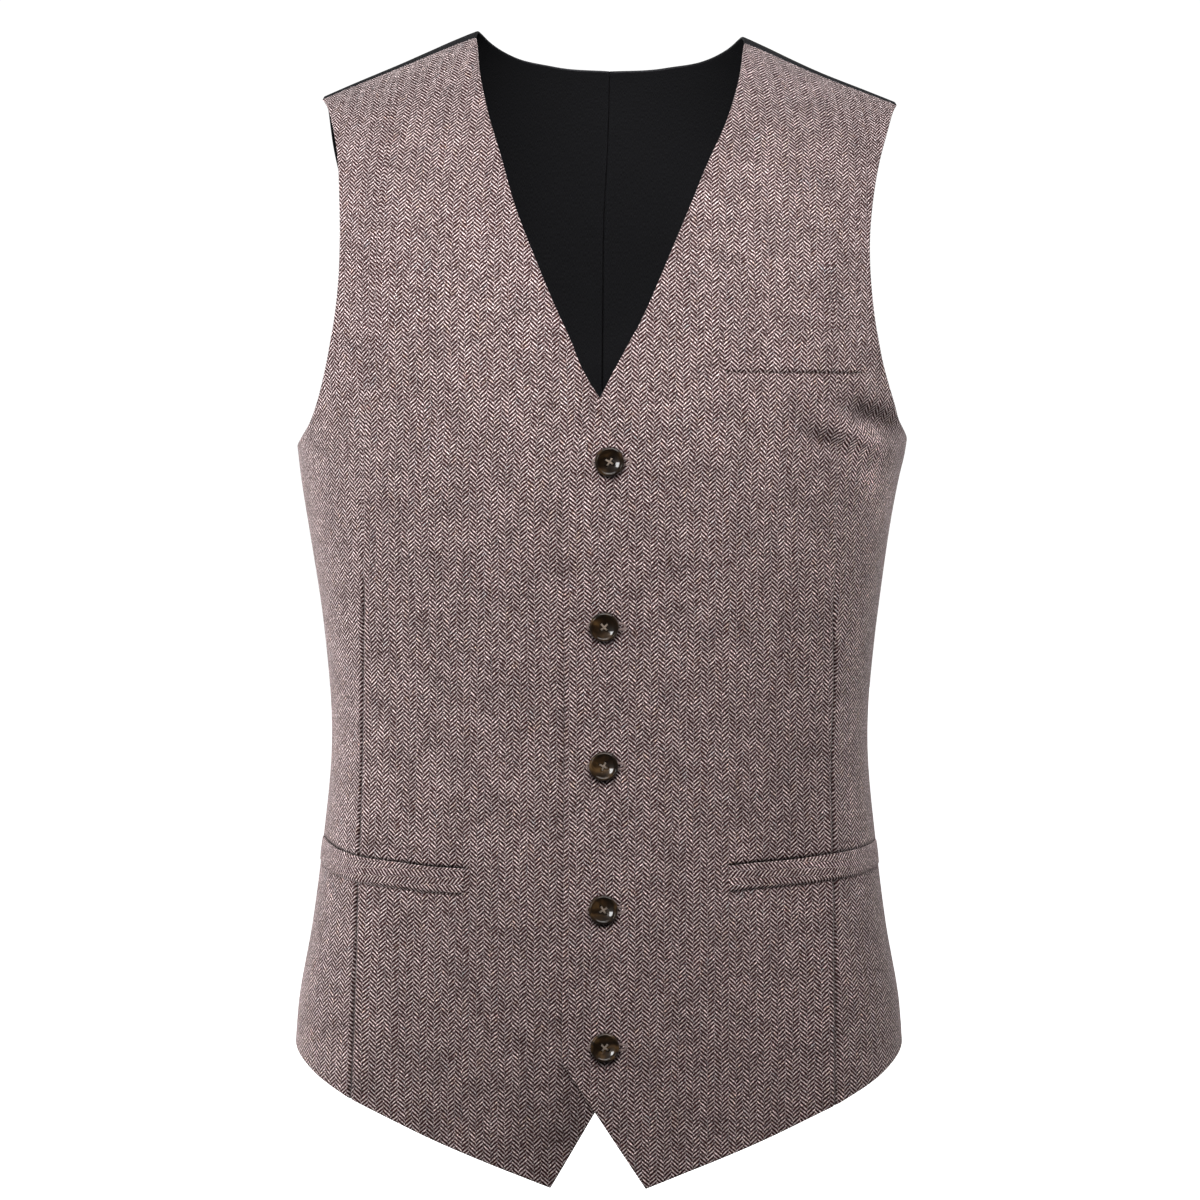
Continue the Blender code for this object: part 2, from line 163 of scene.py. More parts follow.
# Darts: degrees round and height (mm), and the cloth that each takes in (mm)
DART = {
    1: (
        (50.0, 60), (52.0, -100), (55.0, -206), (58.6, -281), (63.0, -347), (62.6, -400),
        (61.7, -447), (59.7, -509), (59.4, -568),
    ),
    -1: (
        (50.0, 60), (52.0, -100), (55.0, -206), (58.6, -271), (62.4, -320), (64.8, -369),
        (64.3, -417), (63.5, -455), (62.3, -490), (61.8, -515), (62.0, -545), (62.4, -575),
    ),
}
DART_TOP = {1: -280 * MM, -1: -270 * MM}
DART_TAPER = 26 * MM
DART_TAKE = ((-620, 3.2), (-520, 4.2), (-440, 6.5), (-370, 7.5), (-310, 3.5), (-272, 0.0), (60, 0.0))
DART_DEPTH = 1.15 * MM
DART_WIDTH = 1.0 * MM
DART_BEND = 0.10  # slope that the cloth takes away from the dart, on both sides of it
DART_BEND_LENGTH = 26 * MM
# Painted shade along the dart's furrow: its share at most, and its width
DART_SHADE = 0.55
DART_SHADE_WIDTH = 1.15 * MM
# the raised banks beside a dart: height, distance from it and half width
DART_BANKS = (0.22 * MM, 3.4 * MM, 2.4 * MM)
BACK_ARC = math.radians(1) * 140 * MM  # length of a degree round the back
WAIST_ARC = math.radians(1) * 125 * MM  # and round a front at the waist

# Where the weave starts on each front: across and up the cloth
GRAIN_START = {1: (0.45 * MM, 0.0), -1: (-0.55 * MM, 0.8 * MM)}
# Girths between which the cloth starts to be eased round the side, the share taken in low on
# the front and high on it, and the heights between which one goes over into the other
EASE_START = 75 * MM
EASE_END = 130 * MM
EASE_SHARE = (0.16, 0.06)
EASE_HEIGHTS = (-300 * MM, -240 * MM)

# Pockets: degrees round and height (mm) of the mouth, from the inner end outwards
WAIST_MOUTH = {
    1: (
        (35.0, -435.6), (42.4, -434.0), (48.6, -433.1), (55.6, -431.6), (61.9, -430.1),
        (69.8, -428.3), (79.0, -425.8), (86.0, -424.0),
    ),
    -1: (
        (36.5, -437.1), (45.0, -436.2), (52.1, -434.4), (62.0, -432.2), (70.8, -428.8),
        (79.0, -424.7), (86.0, -421.9),
    ),
}
WAIST_WELT_HEIGHT = 14.4 * MM
BREAST_MOUTH = ((29.0, -149.0), (45.0, -149.0), (59.4, -148.4))
BREAST_WELT_HEIGHT = 22.5 * MM
WELT_FLATTENS = (66.0, 84.0)  # degrees round between which a waist welt is pressed flat
WELT_FLATTER = 0.75  # and the share of its thickness that it loses there
WELT_BITE = 0.15 * MM  # how far a welt's lower edge sinks into its front, over this height
WELT_BITE_HEIGHT = 1.6 * MM
WELT_CROWN = 0.25 * MM
# Where the weave starts on a welt: across and up the cloth, and up a turned one
WELT_GRAIN = (2.1 * MM, 1.2 * MM)
TURNED_GRAIN = -1.3 * MM
# A pocket's furrows: depth of the open mouth and of the seam below the welt, and painted shade
WAIST_FURROWS = ((1.6 * MM, 0.22 * MM), (0.92, 0.10))
BREAST_FURROWS = ((0.25 * MM, 0.42 * MM), (0.1, 0.2))
MOUTH_FADE = 0.45  # share by which the mouth is weaker at its outer end
MOUTH_ABOVE = 1.1 * MM  # width of the mouth above the welt's edge, and of its slope below it
MOUTH_BELOW = (-3 * MM, -0.6 * MM)
# The open mouth gets painted shade only above this place beside its line
MOUTH_DARK = -1.0 * MM  # the mouth is dark above this place beside its line
WELT_SEAM_WIDTH = 0.7 * MM

# Soft folds: side of the wearer, middle across and height, slope in degrees, half length,
# half width, depth (mm), where a trough is negative
FRONT_FOLDS = (
    (1, 149.0, -195.5, -19.0, 16.0, 7.0, -5.2),
    (1, 121.5, -208.0, -29.0, 14.5, 6.0, -3.4),
    (1, 143.0, -207.0, -20.0, 16.0, 5.5, 2.0),
    (-1, 146.0, -190.0, -24.0, 18.0, 10.0, -1.3),
    (1, 108.0, -193.0, -10.0, 22.0, 8.0, -0.7),
    (1, 96.0, -214.0, -24.0, 30.0, 9.0, -0.5),
    (-1, 108.0, -216.0, -20.0, 26.0, 9.0, -0.5),
)
# A fold deeper than this gets painted shade: darker by this share for each mm of its depth,
# most at this height above its middle (mm), over this share of its width
DEEP_FOLD = -3.0
FOLD_SHADE = 0.10
FOLD_SHADE_RISE = 2.5
FOLD_SHADE_WIDTH = 0.85
# Broad soft painted shade and light: side of the wearer, middle across and height, slope in
# degrees, half length, half width (mm), and the share painted darker (painted lighter below 0)
FRONT_SHADES = (
    (-1, -14.0, -575.0, 60.0, 42.0, 26.0, 0.36),
    (-1, -82.0, -560.0, 10.0, 48.0, 28.0, 0.08),
    (-1, -55.0, -485.0, 0.0, 60.0, 45.0, 0.06),
    (-1, -152.0, -488.0, 90.0, 60.0, 16.0, 0.09),
    (-1, -140.0, -350.0, 90.0, 55.0, 14.0, -0.09),
    (-1, -110.0, -24.0, 0.0, 50.0, 30.0, 0.06),
    (1, 121.0, -24.0, 0.0, 50.0, 30.0, 0.09),
    (1, 151.0, -231.0, -70.0, 26.0, 11.0, -0.50),
    (1, 152.0, -488.0, 90.0, 60.0, 16.0, 0.20),
    (1, 105.0, -392.0, 90.0, 46.0, 22.0, 0.20),
)
# side, degrees round, height, slope in degrees, half length, half width, depth (mm)
BACK_FOLDS = (
    (1, 112.0, -372.0, 8.0, 34.0, 7.0, -1.6),
    (1, 128.0, -352.0, 14.0, 40.0, 9.0, -1.3),
    (1, 120.0, -400.0, -6.0, 30.0, 8.0, -1.4),
    (1, 150.0, -384.0, 4.0, 30.0, 8.0, -0.9),
    (1, 122.0, -236.0, 48.0, 40.0, 9.0, -1.2),
    (1, 134.0, -262.0, 58.0, 46.0, 11.0, -0.9),
    (1, 160.0, -120.0, 84.0, 60.0, 14.0, 0.8),
    (-1, 110.0, -366.0, 10.0, 36.0, 7.0, -1.5),
    (-1, 132.0, -380.0, 6.0, 38.0, 8.0, -1.5),
    (-1, 117.0, -410.0, -10.0, 26.0, 8.0, -1.2),
    (-1, 154.0, -360.0, 8.0, 28.0, 9.0, -0.8),
    (-1, 120.0, -230.0, 52.0, 44.0, 9.0, -1.3),
    (-1, 138.0, -270.0, 60.0, 40.0, 12.0, -0.8),
    (-1, 156.0, -140.0, 86.0, 52.0, 13.0, 0.7),
)

# ---- Buttons ----

# distance from the middle, height (mm), turn of the four holes (degrees)
BUTTON_PLACES = (
    (4.7, -219.3, 12.0),
    (2.2, -306.9, -4.0),
    (2.2, -381.9, 20.0),
    (2.2, -458.9, -14.0),
    (3.2, -532.4, 6.0),
)
# radius, height (mm), from the middle of the bowl over the rim to the underside
BUTTON_PROFILE = (
    (0.0, 1.6), (1.4, 1.66), (2.6, 1.81), (3.7, 2.03), (4.6, 2.27), (5.3, 2.5), (5.8, 2.76),
    (6.1, 3.02), (6.3, 3.26), (6.5, 3.38), (6.72, 3.34), (6.95, 3.18), (7.2, 2.92), (7.42, 2.58),
    (7.55, 2.15), (7.45, 1.6), (6.9, 0.95), (6.0, 0.4), (3.0, 0.1), (0.0, 0.0),
)
BUTTON_TURNS = 112
BUTTON_RINGS = 96
BUTTON_SIZE = 1.035
HOLE_RADIUS = 0.8 * MM
HOLE_EDGE = 0.16 * MM
HOLE_OFFSET = 1.65 * MM
HOLE_DEPTH = 1.3 * MM
THREAD_RADIUS = 0.15 * MM
STRANDS = 3
# Thread above the button's seat, its arch between the holes and its dive into them
THREAD_HEIGHT = 1.88 * MM
THREAD_ARCH = 0.34 * MM
THREAD_DIVE = 0.9 * MM
THREAD_DIVE_START = 0.86  # share of the way to a hole
THREAD_STEP = 2.1 * THREAD_RADIUS  # from strand to strand
THREAD_SIDES = 8
# Painted shadow: the cloth is darker beside a button, most on the side away from the light
BUTTON_SHADE = 0.62
BUTTON_SHADE_REACH = (7.9 * MM, 9.6 * MM)
BUTTON_SHADE_SHIFT = (0.5 * MM, -0.5 * MM)

# Buttonholes: length past the button's middle on either side, and the worked band round it
HOLE_REACH_IN = 10.6 * MM
HOLE_REACH_OUT = 8.2 * MM
HOLE_HALF_WIDTH = 0.9 * MM
HOLE_BAND = 1.3 * MM
HOLE_STITCH = 0.62 * MM
HOLE_RISE = 0.42 * MM
HOLE_SINK = 0.1 * MM
HOLE_RIPPLE = 0.16
HOLE_SAMPLES = 360


# ======== Curves and the form ========


def through(at, table, column):
    """Cubic Hermite curve through one column of a table, read at values of its first column."""
    data = np.array(table, dtype=float)
    data = data[np.argsort(data[:, 0])]
    knots, values = data[:, 0], data[:, column]
    slopes = np.gradient(values, knots)
    low = np.clip(np.searchsorted(knots, at) - 1, 0, len(knots) - 2)
    span = knots[low + 1] - knots[low]
    t = np.clip((at - knots[low]) / span, 0, 1)
    start = (1 + 2 * t) * (1 - t) ** 2 * values[low] + t * (1 - t) ** 2 * span * slopes[low]
    end = t * t * (3 - 2 * t) * values[low + 1] + t * t * (t - 1) * span * slopes[low + 1]
    return start + end


def eased(value, start, end):
    """0 at start, 1 at end: 3t² - 2t³ between them."""
    t = np.clip((value - start) / (end - start), 0, 1)
    return t * t * (3 - 2 * t)


def bell(value, width):
    """1 at 0, falling off on both sides: exp(-(value/width)²)."""
    return np.exp(-((value / width) ** 2))


def signed_power(value, exponent):
    return np.sign(value) * np.abs(value) ** exponent


def ring_height(level):
    """Height of the form's ring at a level: above the spring line, that of the spring line."""
    return SPRING_HEIGHT + np.minimum(level, 0)


def shoulder_height(across):
    """Height of the top of the shoulder at a distance from the middle."""
    return through(np.abs(across) / MM, SHOULDER_LINE, 1) * MM


def ring_depths(height):
    """Half width, front depth and back depth of the torso ring at a height."""
    return tuple(through(height / MM, RINGS, column) * MM for column in (1, 2, 3))


def torso(angle, level):
    """Points of the form: a superellipse ring |x/w|^p + |y/d|^p = 1 at each height, and above
    the spring line the last ring carried over the shoulder on a quarter superellipse."""
    turn = np.radians(angle)
    width, front, back = ring_depths(ring_height(level))
    near = np.where(np.cos(turn) >= 0, front, back)
    far = np.where(np.cos(turn) >= 0, back, front)
    reach = (
        (np.abs(np.sin(turn)) / width) ** RING_SQUARENESS
        + (np.abs(np.cos(turn)) / near) ** RING_SQUARENESS
    ) ** (-1 / RING_SQUARENESS)
    across = reach * np.sin(turn)
    depth = -reach * np.cos(turn)

    over = np.maximum(level, 0) / SHOULDER_RISE * math.pi / 2
    forward = signed_power(np.cos(over), 2 / SHOULDER_ROUNDING)
    upward = signed_power(np.sin(over), 2 / SHOULDER_ROUNDING)
    depth = depth * forward * np.where(forward < 0, far / near, 1)
    height = ring_height(level) + (shoulder_height(across) - SPRING_HEIGHT) * upward
    lean = through(height / MM, LEAN, 1) * MM
    return np.stack([across + lean, depth, height], axis=-1)


def off_torso(angle, level, out):
    """Points at a distance out from the form, along the cross product of its two slopes."""
    across = torso(angle + ANGLE_STEP, level) - torso(angle - ANGLE_STEP, level)
    upward = torso(angle, level + LEVEL_STEP) - torso(angle, level - LEVEL_STEP)
    normal = np.cross(across, upward)
    normal /= np.linalg.norm(normal, axis=-1, keepdims=True)
    return torso(angle, level) + normal * np.asarray(out)[..., None]


def level_of(height, across):
    """The level of a point of the form from its height and its distance from the middle."""
    share = np.clip((height - SPRING_HEIGHT) / (shoulder_height(across) - SPRING_HEIGHT), 0, 1)
    over = np.arcsin(share ** (SHOULDER_ROUNDING / 2)) / (math.pi / 2) * SHOULDER_RISE
    return np.where(height < SPRING_HEIGHT, height - SPRING_HEIGHT, over)


def angle_of(across, level, behind=False):
    """Degrees round of a point at a distance from the middle, on the front or behind."""
    width, front, back = ring_depths(ring_height(level))
    share = 1 - (np.abs(across) / width) ** RING_SQUARENESS
    depth = share ** (1 / RING_SQUARENESS) * (back if behind else front)
    angle = np.degrees(np.arctan2(across, depth))
    return MIDDLE_BACK_ANGLE - angle if behind else angle


def from_across(table):
    """Edge points (degrees round, level) from (distance from the middle, height) in mm."""
    across, height = (np.array(column) * MM for column in zip(*table))
    level = level_of(height, across)
    return np.stack([angle_of(across, level), level], axis=-1)


def from_angles(table):
    """Edge points (degrees round, level) from (degrees round, height in mm)."""
    angle, height = (np.array(column, dtype=float) for column in zip(*table))
    across = torso(angle, np.zeros_like(angle))[:, 0] - through(SPRING_HEIGHT / MM, LEAN, 1) * MM
    return np.stack([angle, level_of(height * MM, across)], axis=-1)


def shoulder_level(turn):
    """Level at a turn in degrees over the shoulder."""
    return turn / 90 * SHOULDER_RISE


def shoulder_ends(side, turn, behind=False):
    """The neck end and the armhole end of a side's shoulder seam, at their turns."""
    across = np.array([NECK_END, SHOULDER_END[side]]) * MM
    level = shoulder_level(turn)
    return np.stack([angle_of(across, level, behind), level], axis=-1)


def running_length(points):
    """Length along a row of points, from 0 at its first."""
    return np.concatenate([[0], np.cumsum(np.linalg.norm(np.diff(points, axis=0), axis=1))])


# ======== Grids of cloth ========

EDGE_SAMPLES = 160
CUTAWAY_END = -495 * MM  # height on the side seam of the row that meets the cutaway's corner
FRONT_COLUMNS = (150 * MM, 80 * MM)  # width of a front before its dart and after it
BACK_COLUMNS = 170 * MM
DART_SHARE = (0.3, 0.9)  # the dart's column keeps within these shares of a front's width
UNDERARM = -206 * MM  # height on the centre back of the row that meets the side seam's top
BACK_NECK_ROW = -105 * MM  # height on the armhole of the row that meets the neck's middle


def edge(*stretches):
    """One edge of a panel, from stretches of (degrees round, level) points that share their
    ends: rows of (length along it, degrees round, level, height), smooth in each stretch."""
    pieces = []
    for points in stretches:
        length = running_length(torso(points[:, 0], points[:, 1]))
        table = np.column_stack([length, points])
        at = np.linspace(0, length[-1], EDGE_SAMPLES)
        pieces.append(np.stack([through(at, table, 1), through(at, table, 2)], axis=-1))
    points = np.concatenate([pieces[0]] + [piece[1:] for piece in pieces[1:]])
    place = torso(points[:, 0], points[:, 1])
    return np.column_stack([running_length(place), points, place[:, 2]])


def along_edge(line, length):
    """(degrees round, level) at lengths along an edge, straight between its samples."""
    return np.stack([np.interp(length, line[:, 0], line[:, column]) for column in (1, 2)], axis=-1)


def steps(length, fine_start, fine_end):
    """Shares from 0 to 1 along a length, about a face apart, closer at the ends asked for."""
    start = [step for step in FINE_STEPS if fine_start]
    end = [length - step for step in FINE_STEPS if fine_end][::-1]
    first = start[-1] if start else 0
    last = end[0] if end else length
    count = max(int(round((last - first) / FACE)), 1)
    middle = np.linspace(first, last, count + 1)
    places = [0] * fine_start + start[:-1] + list(middle) + end[1:] + [length] * fine_end
    return np.array(places) / length


def rows_between(inner, outer, stops):
    """Rows of a panel. stops are (height on the inner edge, height on the outer edge, line),
    from the hem up. Returns each row's two ends and its place counted in stops: between two
    stops the rows lie at even shares of both edges."""
    at_inner = [np.interp(stop[0], inner[:, 3], inner[:, 0]) for stop in stops]
    at_outer = [np.interp(stop[1], outer[:, 3], outer[:, 0]) for stop in stops]
    place = []
    for number in range(len(stops) - 1):
        long = max(at_inner[number + 1] - at_inner[number], at_outer[number + 1] - at_outer[number])
        lined = [stop[2] is not None for stop in stops[number : number + 2]]
        share = steps(long, number == 0 or lined[0], number == len(stops) - 2 or lined[1])
        place.extend(number + share[:-1])
    place = np.array(place + [len(stops) - 1])
    order = np.arange(len(stops))
    ends = [
        along_edge(line, np.interp(place, order, at))
        for line, at in ((inner, at_inner), (outer, at_outer))
    ]
    return ends[0], ends[1], place


def bent(grid, place, stops):
    """Bends a grid of (degrees round, level) so that the rows at the stops with a line of
    (degrees round, height) follow it. In between, the bend changes evenly."""
    order = np.arange(len(stops))
    bends = []
    for number, stop in enumerate(stops):
        row = grid[int(np.argmin(np.abs(place - number)))]
        line = stop[2]
        bends.append(np.zeros(len(row)) if line is None else line(row[:, 0]) - row[:, 1])
    bends = np.array(bends)
    low = np.clip(np.floor(place).astype(int), 0, len(order) - 2)
    share = (place - low)[:, None]
    grid[..., 1] += bends[low] * (1 - share) + bends[low + 1] * share
    return grid


def line_level(table, below=0.0):
    """A function of degrees round that gives the level of a line of (degrees, mm)."""
    return lambda angle: through(angle, table, 1) * MM - SPRING_HEIGHT - below


def welt_stops(inner, outer, mouth, height):
    """The stops of a welt's lower and upper edge, from its mouth's heights in mm on the inner
    and the outer edge of the front."""
    return [(inner * MM - below, outer * MM - below, line_level(mouth, below)) for below in (height, 0.0)]


def dart_angle(side, level):
    """Degrees round of a front's dart at a level. The grid's column goes on up from it."""
    turned = [(height, angle) for angle, height in DART[side]]
    return through((SPRING_HEIGHT + level) / MM, turned, 1)


def front_grid(side):
    """Degrees round and level over a front. One column of the grid lies on the dart."""
    neck_top, arm_top = shoulder_ends(side, SHOULDER_SEAM_TURN)
    neck = np.concatenate([from_across(NECK[side]), [neck_top]])
    armhole = np.concatenate([from_angles(FRONT_ARMHOLE[side]), [arm_top]])
    side_seam = from_angles((FRONT_HEM[-1], FRONT_ARMHOLE[side][0]))
    inner = edge(from_across(CUTAWAY[side]), from_across(FRONT_EDGE[side]), neck)
    outer = edge(side_seam, armhole)
    mouth = WAIST_MOUTH[side]
    stops = [
        (inner[0, 3], outer[0, 3], line_level(FRONT_HEM)),
        (CUTAWAY[side][-1][1] * MM, CUTAWAY_END, None),
        *welt_stops(mouth[0][1], mouth[-1][1], mouth, WAIST_WELT_HEIGHT),
        (NECK_CORNER[1] * MM, FRONT_ARMHOLE[side][0][1] * MM, None),
    ]
    if side > 0:
        height = BREAST_MOUTH[0][1]
        stops.extend(welt_stops(height, height, BREAST_MOUTH, BREAST_WELT_HEIGHT))
    stops.append((inner[-1, 3], outer[-1, 3], None))
    start, end, place = rows_between(inner, outer, stops)

    share = (dart_angle(side, start[:, 1]) - start[:, 0]) / (end[:, 0] - start[:, 0])
    for _ in range(4):
        level = start[:, 1] * (1 - share) + end[:, 1] * share
        share = (dart_angle(side, level) - start[:, 0]) / (end[:, 0] - start[:, 0])
    share = np.clip(share, *DART_SHARE)[:, None]
    before, after = (steps(width, True, True) for width in FRONT_COLUMNS)
    columns = np.concatenate([share * before, share + (1 - share) * after[1:]], axis=1)[..., None]
    grid = start[:, None] * (1 - columns) + end[:, None] * columns
    return bent(grid, place, stops)


def back_grid(side):
    """Degrees round and level over a back."""
    neck_top, arm_top = shoulder_ends(side, 180 - SHOULDER_SEAM_TURN, behind=True)
    across, turn = (np.array(column) for column in zip(*BACK_NECK))
    level = shoulder_level(turn)
    neck = np.stack([angle_of(across * MM, level, behind=True), level], axis=-1)
    neck = np.concatenate([neck, [neck_top]])
    armhole = np.concatenate([from_angles(BACK_ARMHOLE), [arm_top]])
    middle = np.array([[MIDDLE_BACK_ANGLE, BACK_HEM[-1][1] * MM - SPRING_HEIGHT], neck[0]])
    inner = edge(middle, neck)
    outer = edge(from_angles((BACK_HEM[0], BACK_ARMHOLE[0])), armhole)
    # over the shoulder the heights turn back, so the edges are read by their level
    inner[:, 3], outer[:, 3] = inner[:, 2] + SPRING_HEIGHT, outer[:, 2] + SPRING_HEIGHT
    stops = [
        (inner[0, 3], outer[0, 3], line_level(BACK_HEM)),
        (UNDERARM, BACK_ARMHOLE[0][1] * MM, None),
        (neck[0, 1] + SPRING_HEIGHT, BACK_NECK_ROW, None),
        (inner[-1, 3], outer[-1, 3], None),
    ]
    start, end, place = rows_between(inner, outer, stops)
    columns = steps(BACK_COLUMNS, True, True)[None, :, None]
    grid = start[:, None] * (1 - columns) + end[:, None] * columns
    return bent(grid, place, stops)


# ======== How far cloth stands off the form ========


def ridge(beside, above, slope, length, width, depth):
    """A soft trough or ridge: depth · exp(-(run/length)² - (off/width)²), turned by its slope."""
    run = beside * math.cos(slope) + above * math.sin(slope)
    off = above * math.cos(slope) - beside * math.sin(slope)
    return depth * np.exp(-((run / length) ** 2) - (off / width) ** 2)


def ridges(rows, side, across, height, unit=MM, join=np.add):
    """A side's troughs and ridges from a table, joined. unit is that of their middles across."""
    total = 0.0
    for row_side, middle, up, slope, length, width, depth in rows:
        if row_side == side:
            beside, above = across - middle * unit, height - up * MM
            total = join(total, ridge(beside, above, math.radians(slope), length * MM, width * MM, depth))
    return total


def spring_bend(angle, level):
    """Rounds the form's bend at the spring line: bend/2 · (√(level² + w²) - |level|), where
    bend is how much the form's slope changes there."""
    rings = (torso(angle, np.full_like(level, at)) for at in (0, -MM, MM))
    here, below, above = (np.hypot(ring[..., 0], ring[..., 1]) for ring in rings)
    bend = (above - 2 * here + below) / MM
    return bend / 2 * (np.sqrt(level**2 + SPRING_ROUNDING**2) - np.abs(level))


def front_base(side, angle, level):
    """A front's outer face without its seams: the folds, the bend of the cloth at the dart
    (slope · run · exp(-run/length) on both sides), and the lap over the under front."""
    place = torso(angle, level)
    across, height = place[..., 0], place[..., 2]
    out = spring_bend(angle, level) + ridges(FRONT_FOLDS, side, across, height) * MM
    round_form = np.abs(angle)
    from_dart = np.abs(girth(round_form, level) - girth(dart_angle(side, level), level))
    taper = 1 - eased(ring_height(level), DART_TOP[side] - 3 * DART_TAPER, DART_TOP[side])
    out -= DART_BEND * taper * from_dart * np.exp(-from_dart / DART_BEND_LENGTH)
    if side > 0:
        beside = 1 - eased(across, LAP_FULL, LAP_END)
        below = 1 - eased(height, LAP_LOW, LAP_HIGH)
        out += (FRONT_WALL + LAP_GAP) * beside * below
    return out


def girth(angle, level, parts=24):
    """Length round the form from the middle of the front to an angle, as a sum of chords.
    Above the spring line it is that of the spring line."""
    share = np.linspace(0, 1, parts + 1).reshape(-1, *[1] * np.ndim(angle))
    points = torso(angle * share, np.minimum(level, 0) * np.ones_like(share))
    return np.linalg.norm(np.diff(points, axis=0), axis=-1).sum(axis=0) * np.sign(angle)


def grain(angle, level, parts=32):
    """Where a point lies on its cloth laid flat: (across the grain, along it). Up to the
    spring line it is the girth and the length up the form. The cloth above is unrolled from
    a cylinder that slopes as the shoulder does, so that its grain turns towards the neck."""
    share = np.linspace(0, 1, parts + 1).reshape(-1, *[1] * np.ndim(angle))
    points = torso(angle * np.ones_like(share), level * share)
    run = np.diff(points, axis=0)
    sine, cosine = math.sin(SHOULDER_SLOPE), math.cos(SHOULDER_SLOPE)
    over = np.sqrt(run[..., 1] ** 2 + (cosine * run[..., 2]) ** 2)
    sideways = (sine * (over - cosine * run[..., 2])).sum(axis=0)
    upward = (sine**2 * run[..., 2] + cosine * over).sum(axis=0)
    length = np.linalg.norm(run, axis=-1).sum(axis=0)
    above = level > 0
    across = girth(angle, level) + np.where(above, sideways, 0) * np.sign(angle)
    return across, np.where(above, upward, -length)


def between(value, low, high, soft):
    """1 between two values and 0 outside, with an eased slope of width soft."""
    rise, fall = (eased(value, at - soft / 2, at + soft / 2) for at in (low, high))
    return rise * (1 - fall)


def pocket_marks(angle, level, mouth, height):
    """Shares from 0 to 1 of a welt pocket's furrows in its front: the open mouth, steep at the
    welt and soft above it and strongest at its inner end, and the seam below the welt."""
    first, last = mouth[0][0], mouth[-1][0]
    window = between(angle, first, last, 1.0)
    above = level - line_level(mouth)(angle)
    open_share = 1 - MOUTH_FADE * eased(angle, first, last)
    furrow = np.where(above > 0, bell(above, MOUTH_ABOVE), eased(above, *MOUTH_BELOW))
    seam = bell(above + height, WELT_SEAM_WIDTH)
    return window * open_share * furrow, window * seam


def front_seams(side, angle, level):
    """Furrows of a front, the dart between two slightly raised banks and the pockets, and the painted
    shade: how much darker each point is painted, in the furrows, the deep folds and broad patches."""
    beside = girth(angle, level) - girth(dart_angle(side, level), level)
    taper = 1 - eased(ring_height(level), DART_TOP[side] - DART_TAPER, DART_TOP[side])
    rise, away, width = DART_BANKS
    banks = rise * bell(np.abs(beside) - away, width)
    out = taper * (banks - DART_DEPTH * bell(beside, DART_WIDTH))
    # painted shade along the dart
    painted_shade = DART_SHADE * taper * bell(beside, DART_SHADE_WIDTH)
    across, _, height = np.moveaxis(torso(side * angle, level), -1, 0)
    # painted shade in the deep folds, on their upper side
    shades = [
        (*row[:2], row[2] + FOLD_SHADE_RISE, *row[3:5], row[5] * FOLD_SHADE_WIDTH, -FOLD_SHADE * row[6])
        for row in FRONT_FOLDS
        if row[6] < DEEP_FOLD
    ]
    painted_shade = np.maximum(painted_shade, ridges(shades, side, across, height, join=np.maximum))
    mouth, seam = pocket_marks(angle, level, WAIST_MOUTH[side], WAIST_WELT_HEIGHT)
    deep, dark = WAIST_FURROWS
    out -= deep[0] * mouth + deep[1] * seam
    above = level - line_level(WAIST_MOUTH[side])(angle)
    # painted shade in the pocket's open mouth and in the seam below the welt
    painted_shade = np.maximum(painted_shade, dark[0] * mouth * (above > MOUTH_DARK) + dark[1] * seam)
    if side > 0:
        mouth, seam = pocket_marks(angle, level, BREAST_MOUTH, BREAST_WELT_HEIGHT)
        deep, dark = BREAST_FURROWS
        out -= deep[0] * mouth + deep[1] * seam
        painted_shade = np.maximum(painted_shade, dark[0] * mouth + dark[1] * seam)
    # broad painted shade, and painted light where a share is below 0
    return out, painted_shade + ridges(FRONT_SHADES, side, across, height)


def lap_shade(across, height):
    """The painted shadow on the under front beside the upper front's edge: how much darker it is,
    from its distance to the straight stretches of that edge. Both are seen from the front."""
    corners = np.array(CUTAWAY[1] + (NECK_CORNER, (0.0, -182.0))) * MM
    places = np.stack([across, height], axis=-1)
    nearest = np.full(np.shape(across), np.inf)
    for start, end in zip(corners[:-1], corners[1:]):
        along = end - start
        share = np.clip(((places - start) @ along) / (along @ along), 0, 1)
        nearest = np.minimum(nearest, np.linalg.norm(places - start - share[..., None] * along, axis=-1))
    low = 1 - LAP_SHADE_FADE * eased(height, *LAP_SHADE_HEIGHTS)
    return low * sum(share * bell(nearest, width) for share, width in LAP_SHADE)


def back_out(side, angle, level):
    """A back's outer face: its folds, counted round and up the form."""
    folds = ridges(BACK_FOLDS, side, angle * BACK_ARC, SPRING_HEIGHT + level, BACK_ARC)
    return spring_bend(angle, level) + folds * MM


def button_frame(place):
    """The point under a button on its front, and the turn of its own axes: Z out, X across."""
    across, height, turn = place[0] * MM, place[1] * MM, math.radians(place[2])
    level = np.array([height - SPRING_HEIGHT])
    angle = angle_of(np.array([across]), level)
    out = front_base(1, angle, level) + SEAM_GAP
    seat = Vector(off_torso(angle, level, out)[0])
    facing = (Vector(off_torso(angle, level, out + MM)[0]) - seat).to_track_quat("Z", "Y")
    return seat, facing @ Quaternion((0, 0, 1), turn)


# ======== Meshes ========


def quads(rows, columns):
    """Corner numbers of the faces of a grid."""
    corner = np.arange((rows - 1) * columns).reshape(rows - 1, columns)[:, :-1]
    return np.stack([corner, corner + 1, corner + columns + 1, corner + columns], axis=-1).reshape(-1, 4)


def ring_quads(rings, sides):
    """Corner numbers of the faces between closed rings of points."""
    corner = np.arange(rings - 1)[:, None] * sides
    side = np.arange(sides)[None, :]
    after = (side + 1) % sides
    quad = [corner + side, corner + after, corner + sides + after, corner + sides + side]
    return np.stack(quad, axis=-1).reshape(-1, 4)


def signed_volume(points, faces):
    """Volume inside quads that face outwards, negative where they face inwards."""
    a, b, c, d = (points[faces[:, k]] for k in range(4))
    return ((a * np.cross(b, c)).sum() + (a * np.cross(c, d)).sum()) / 6


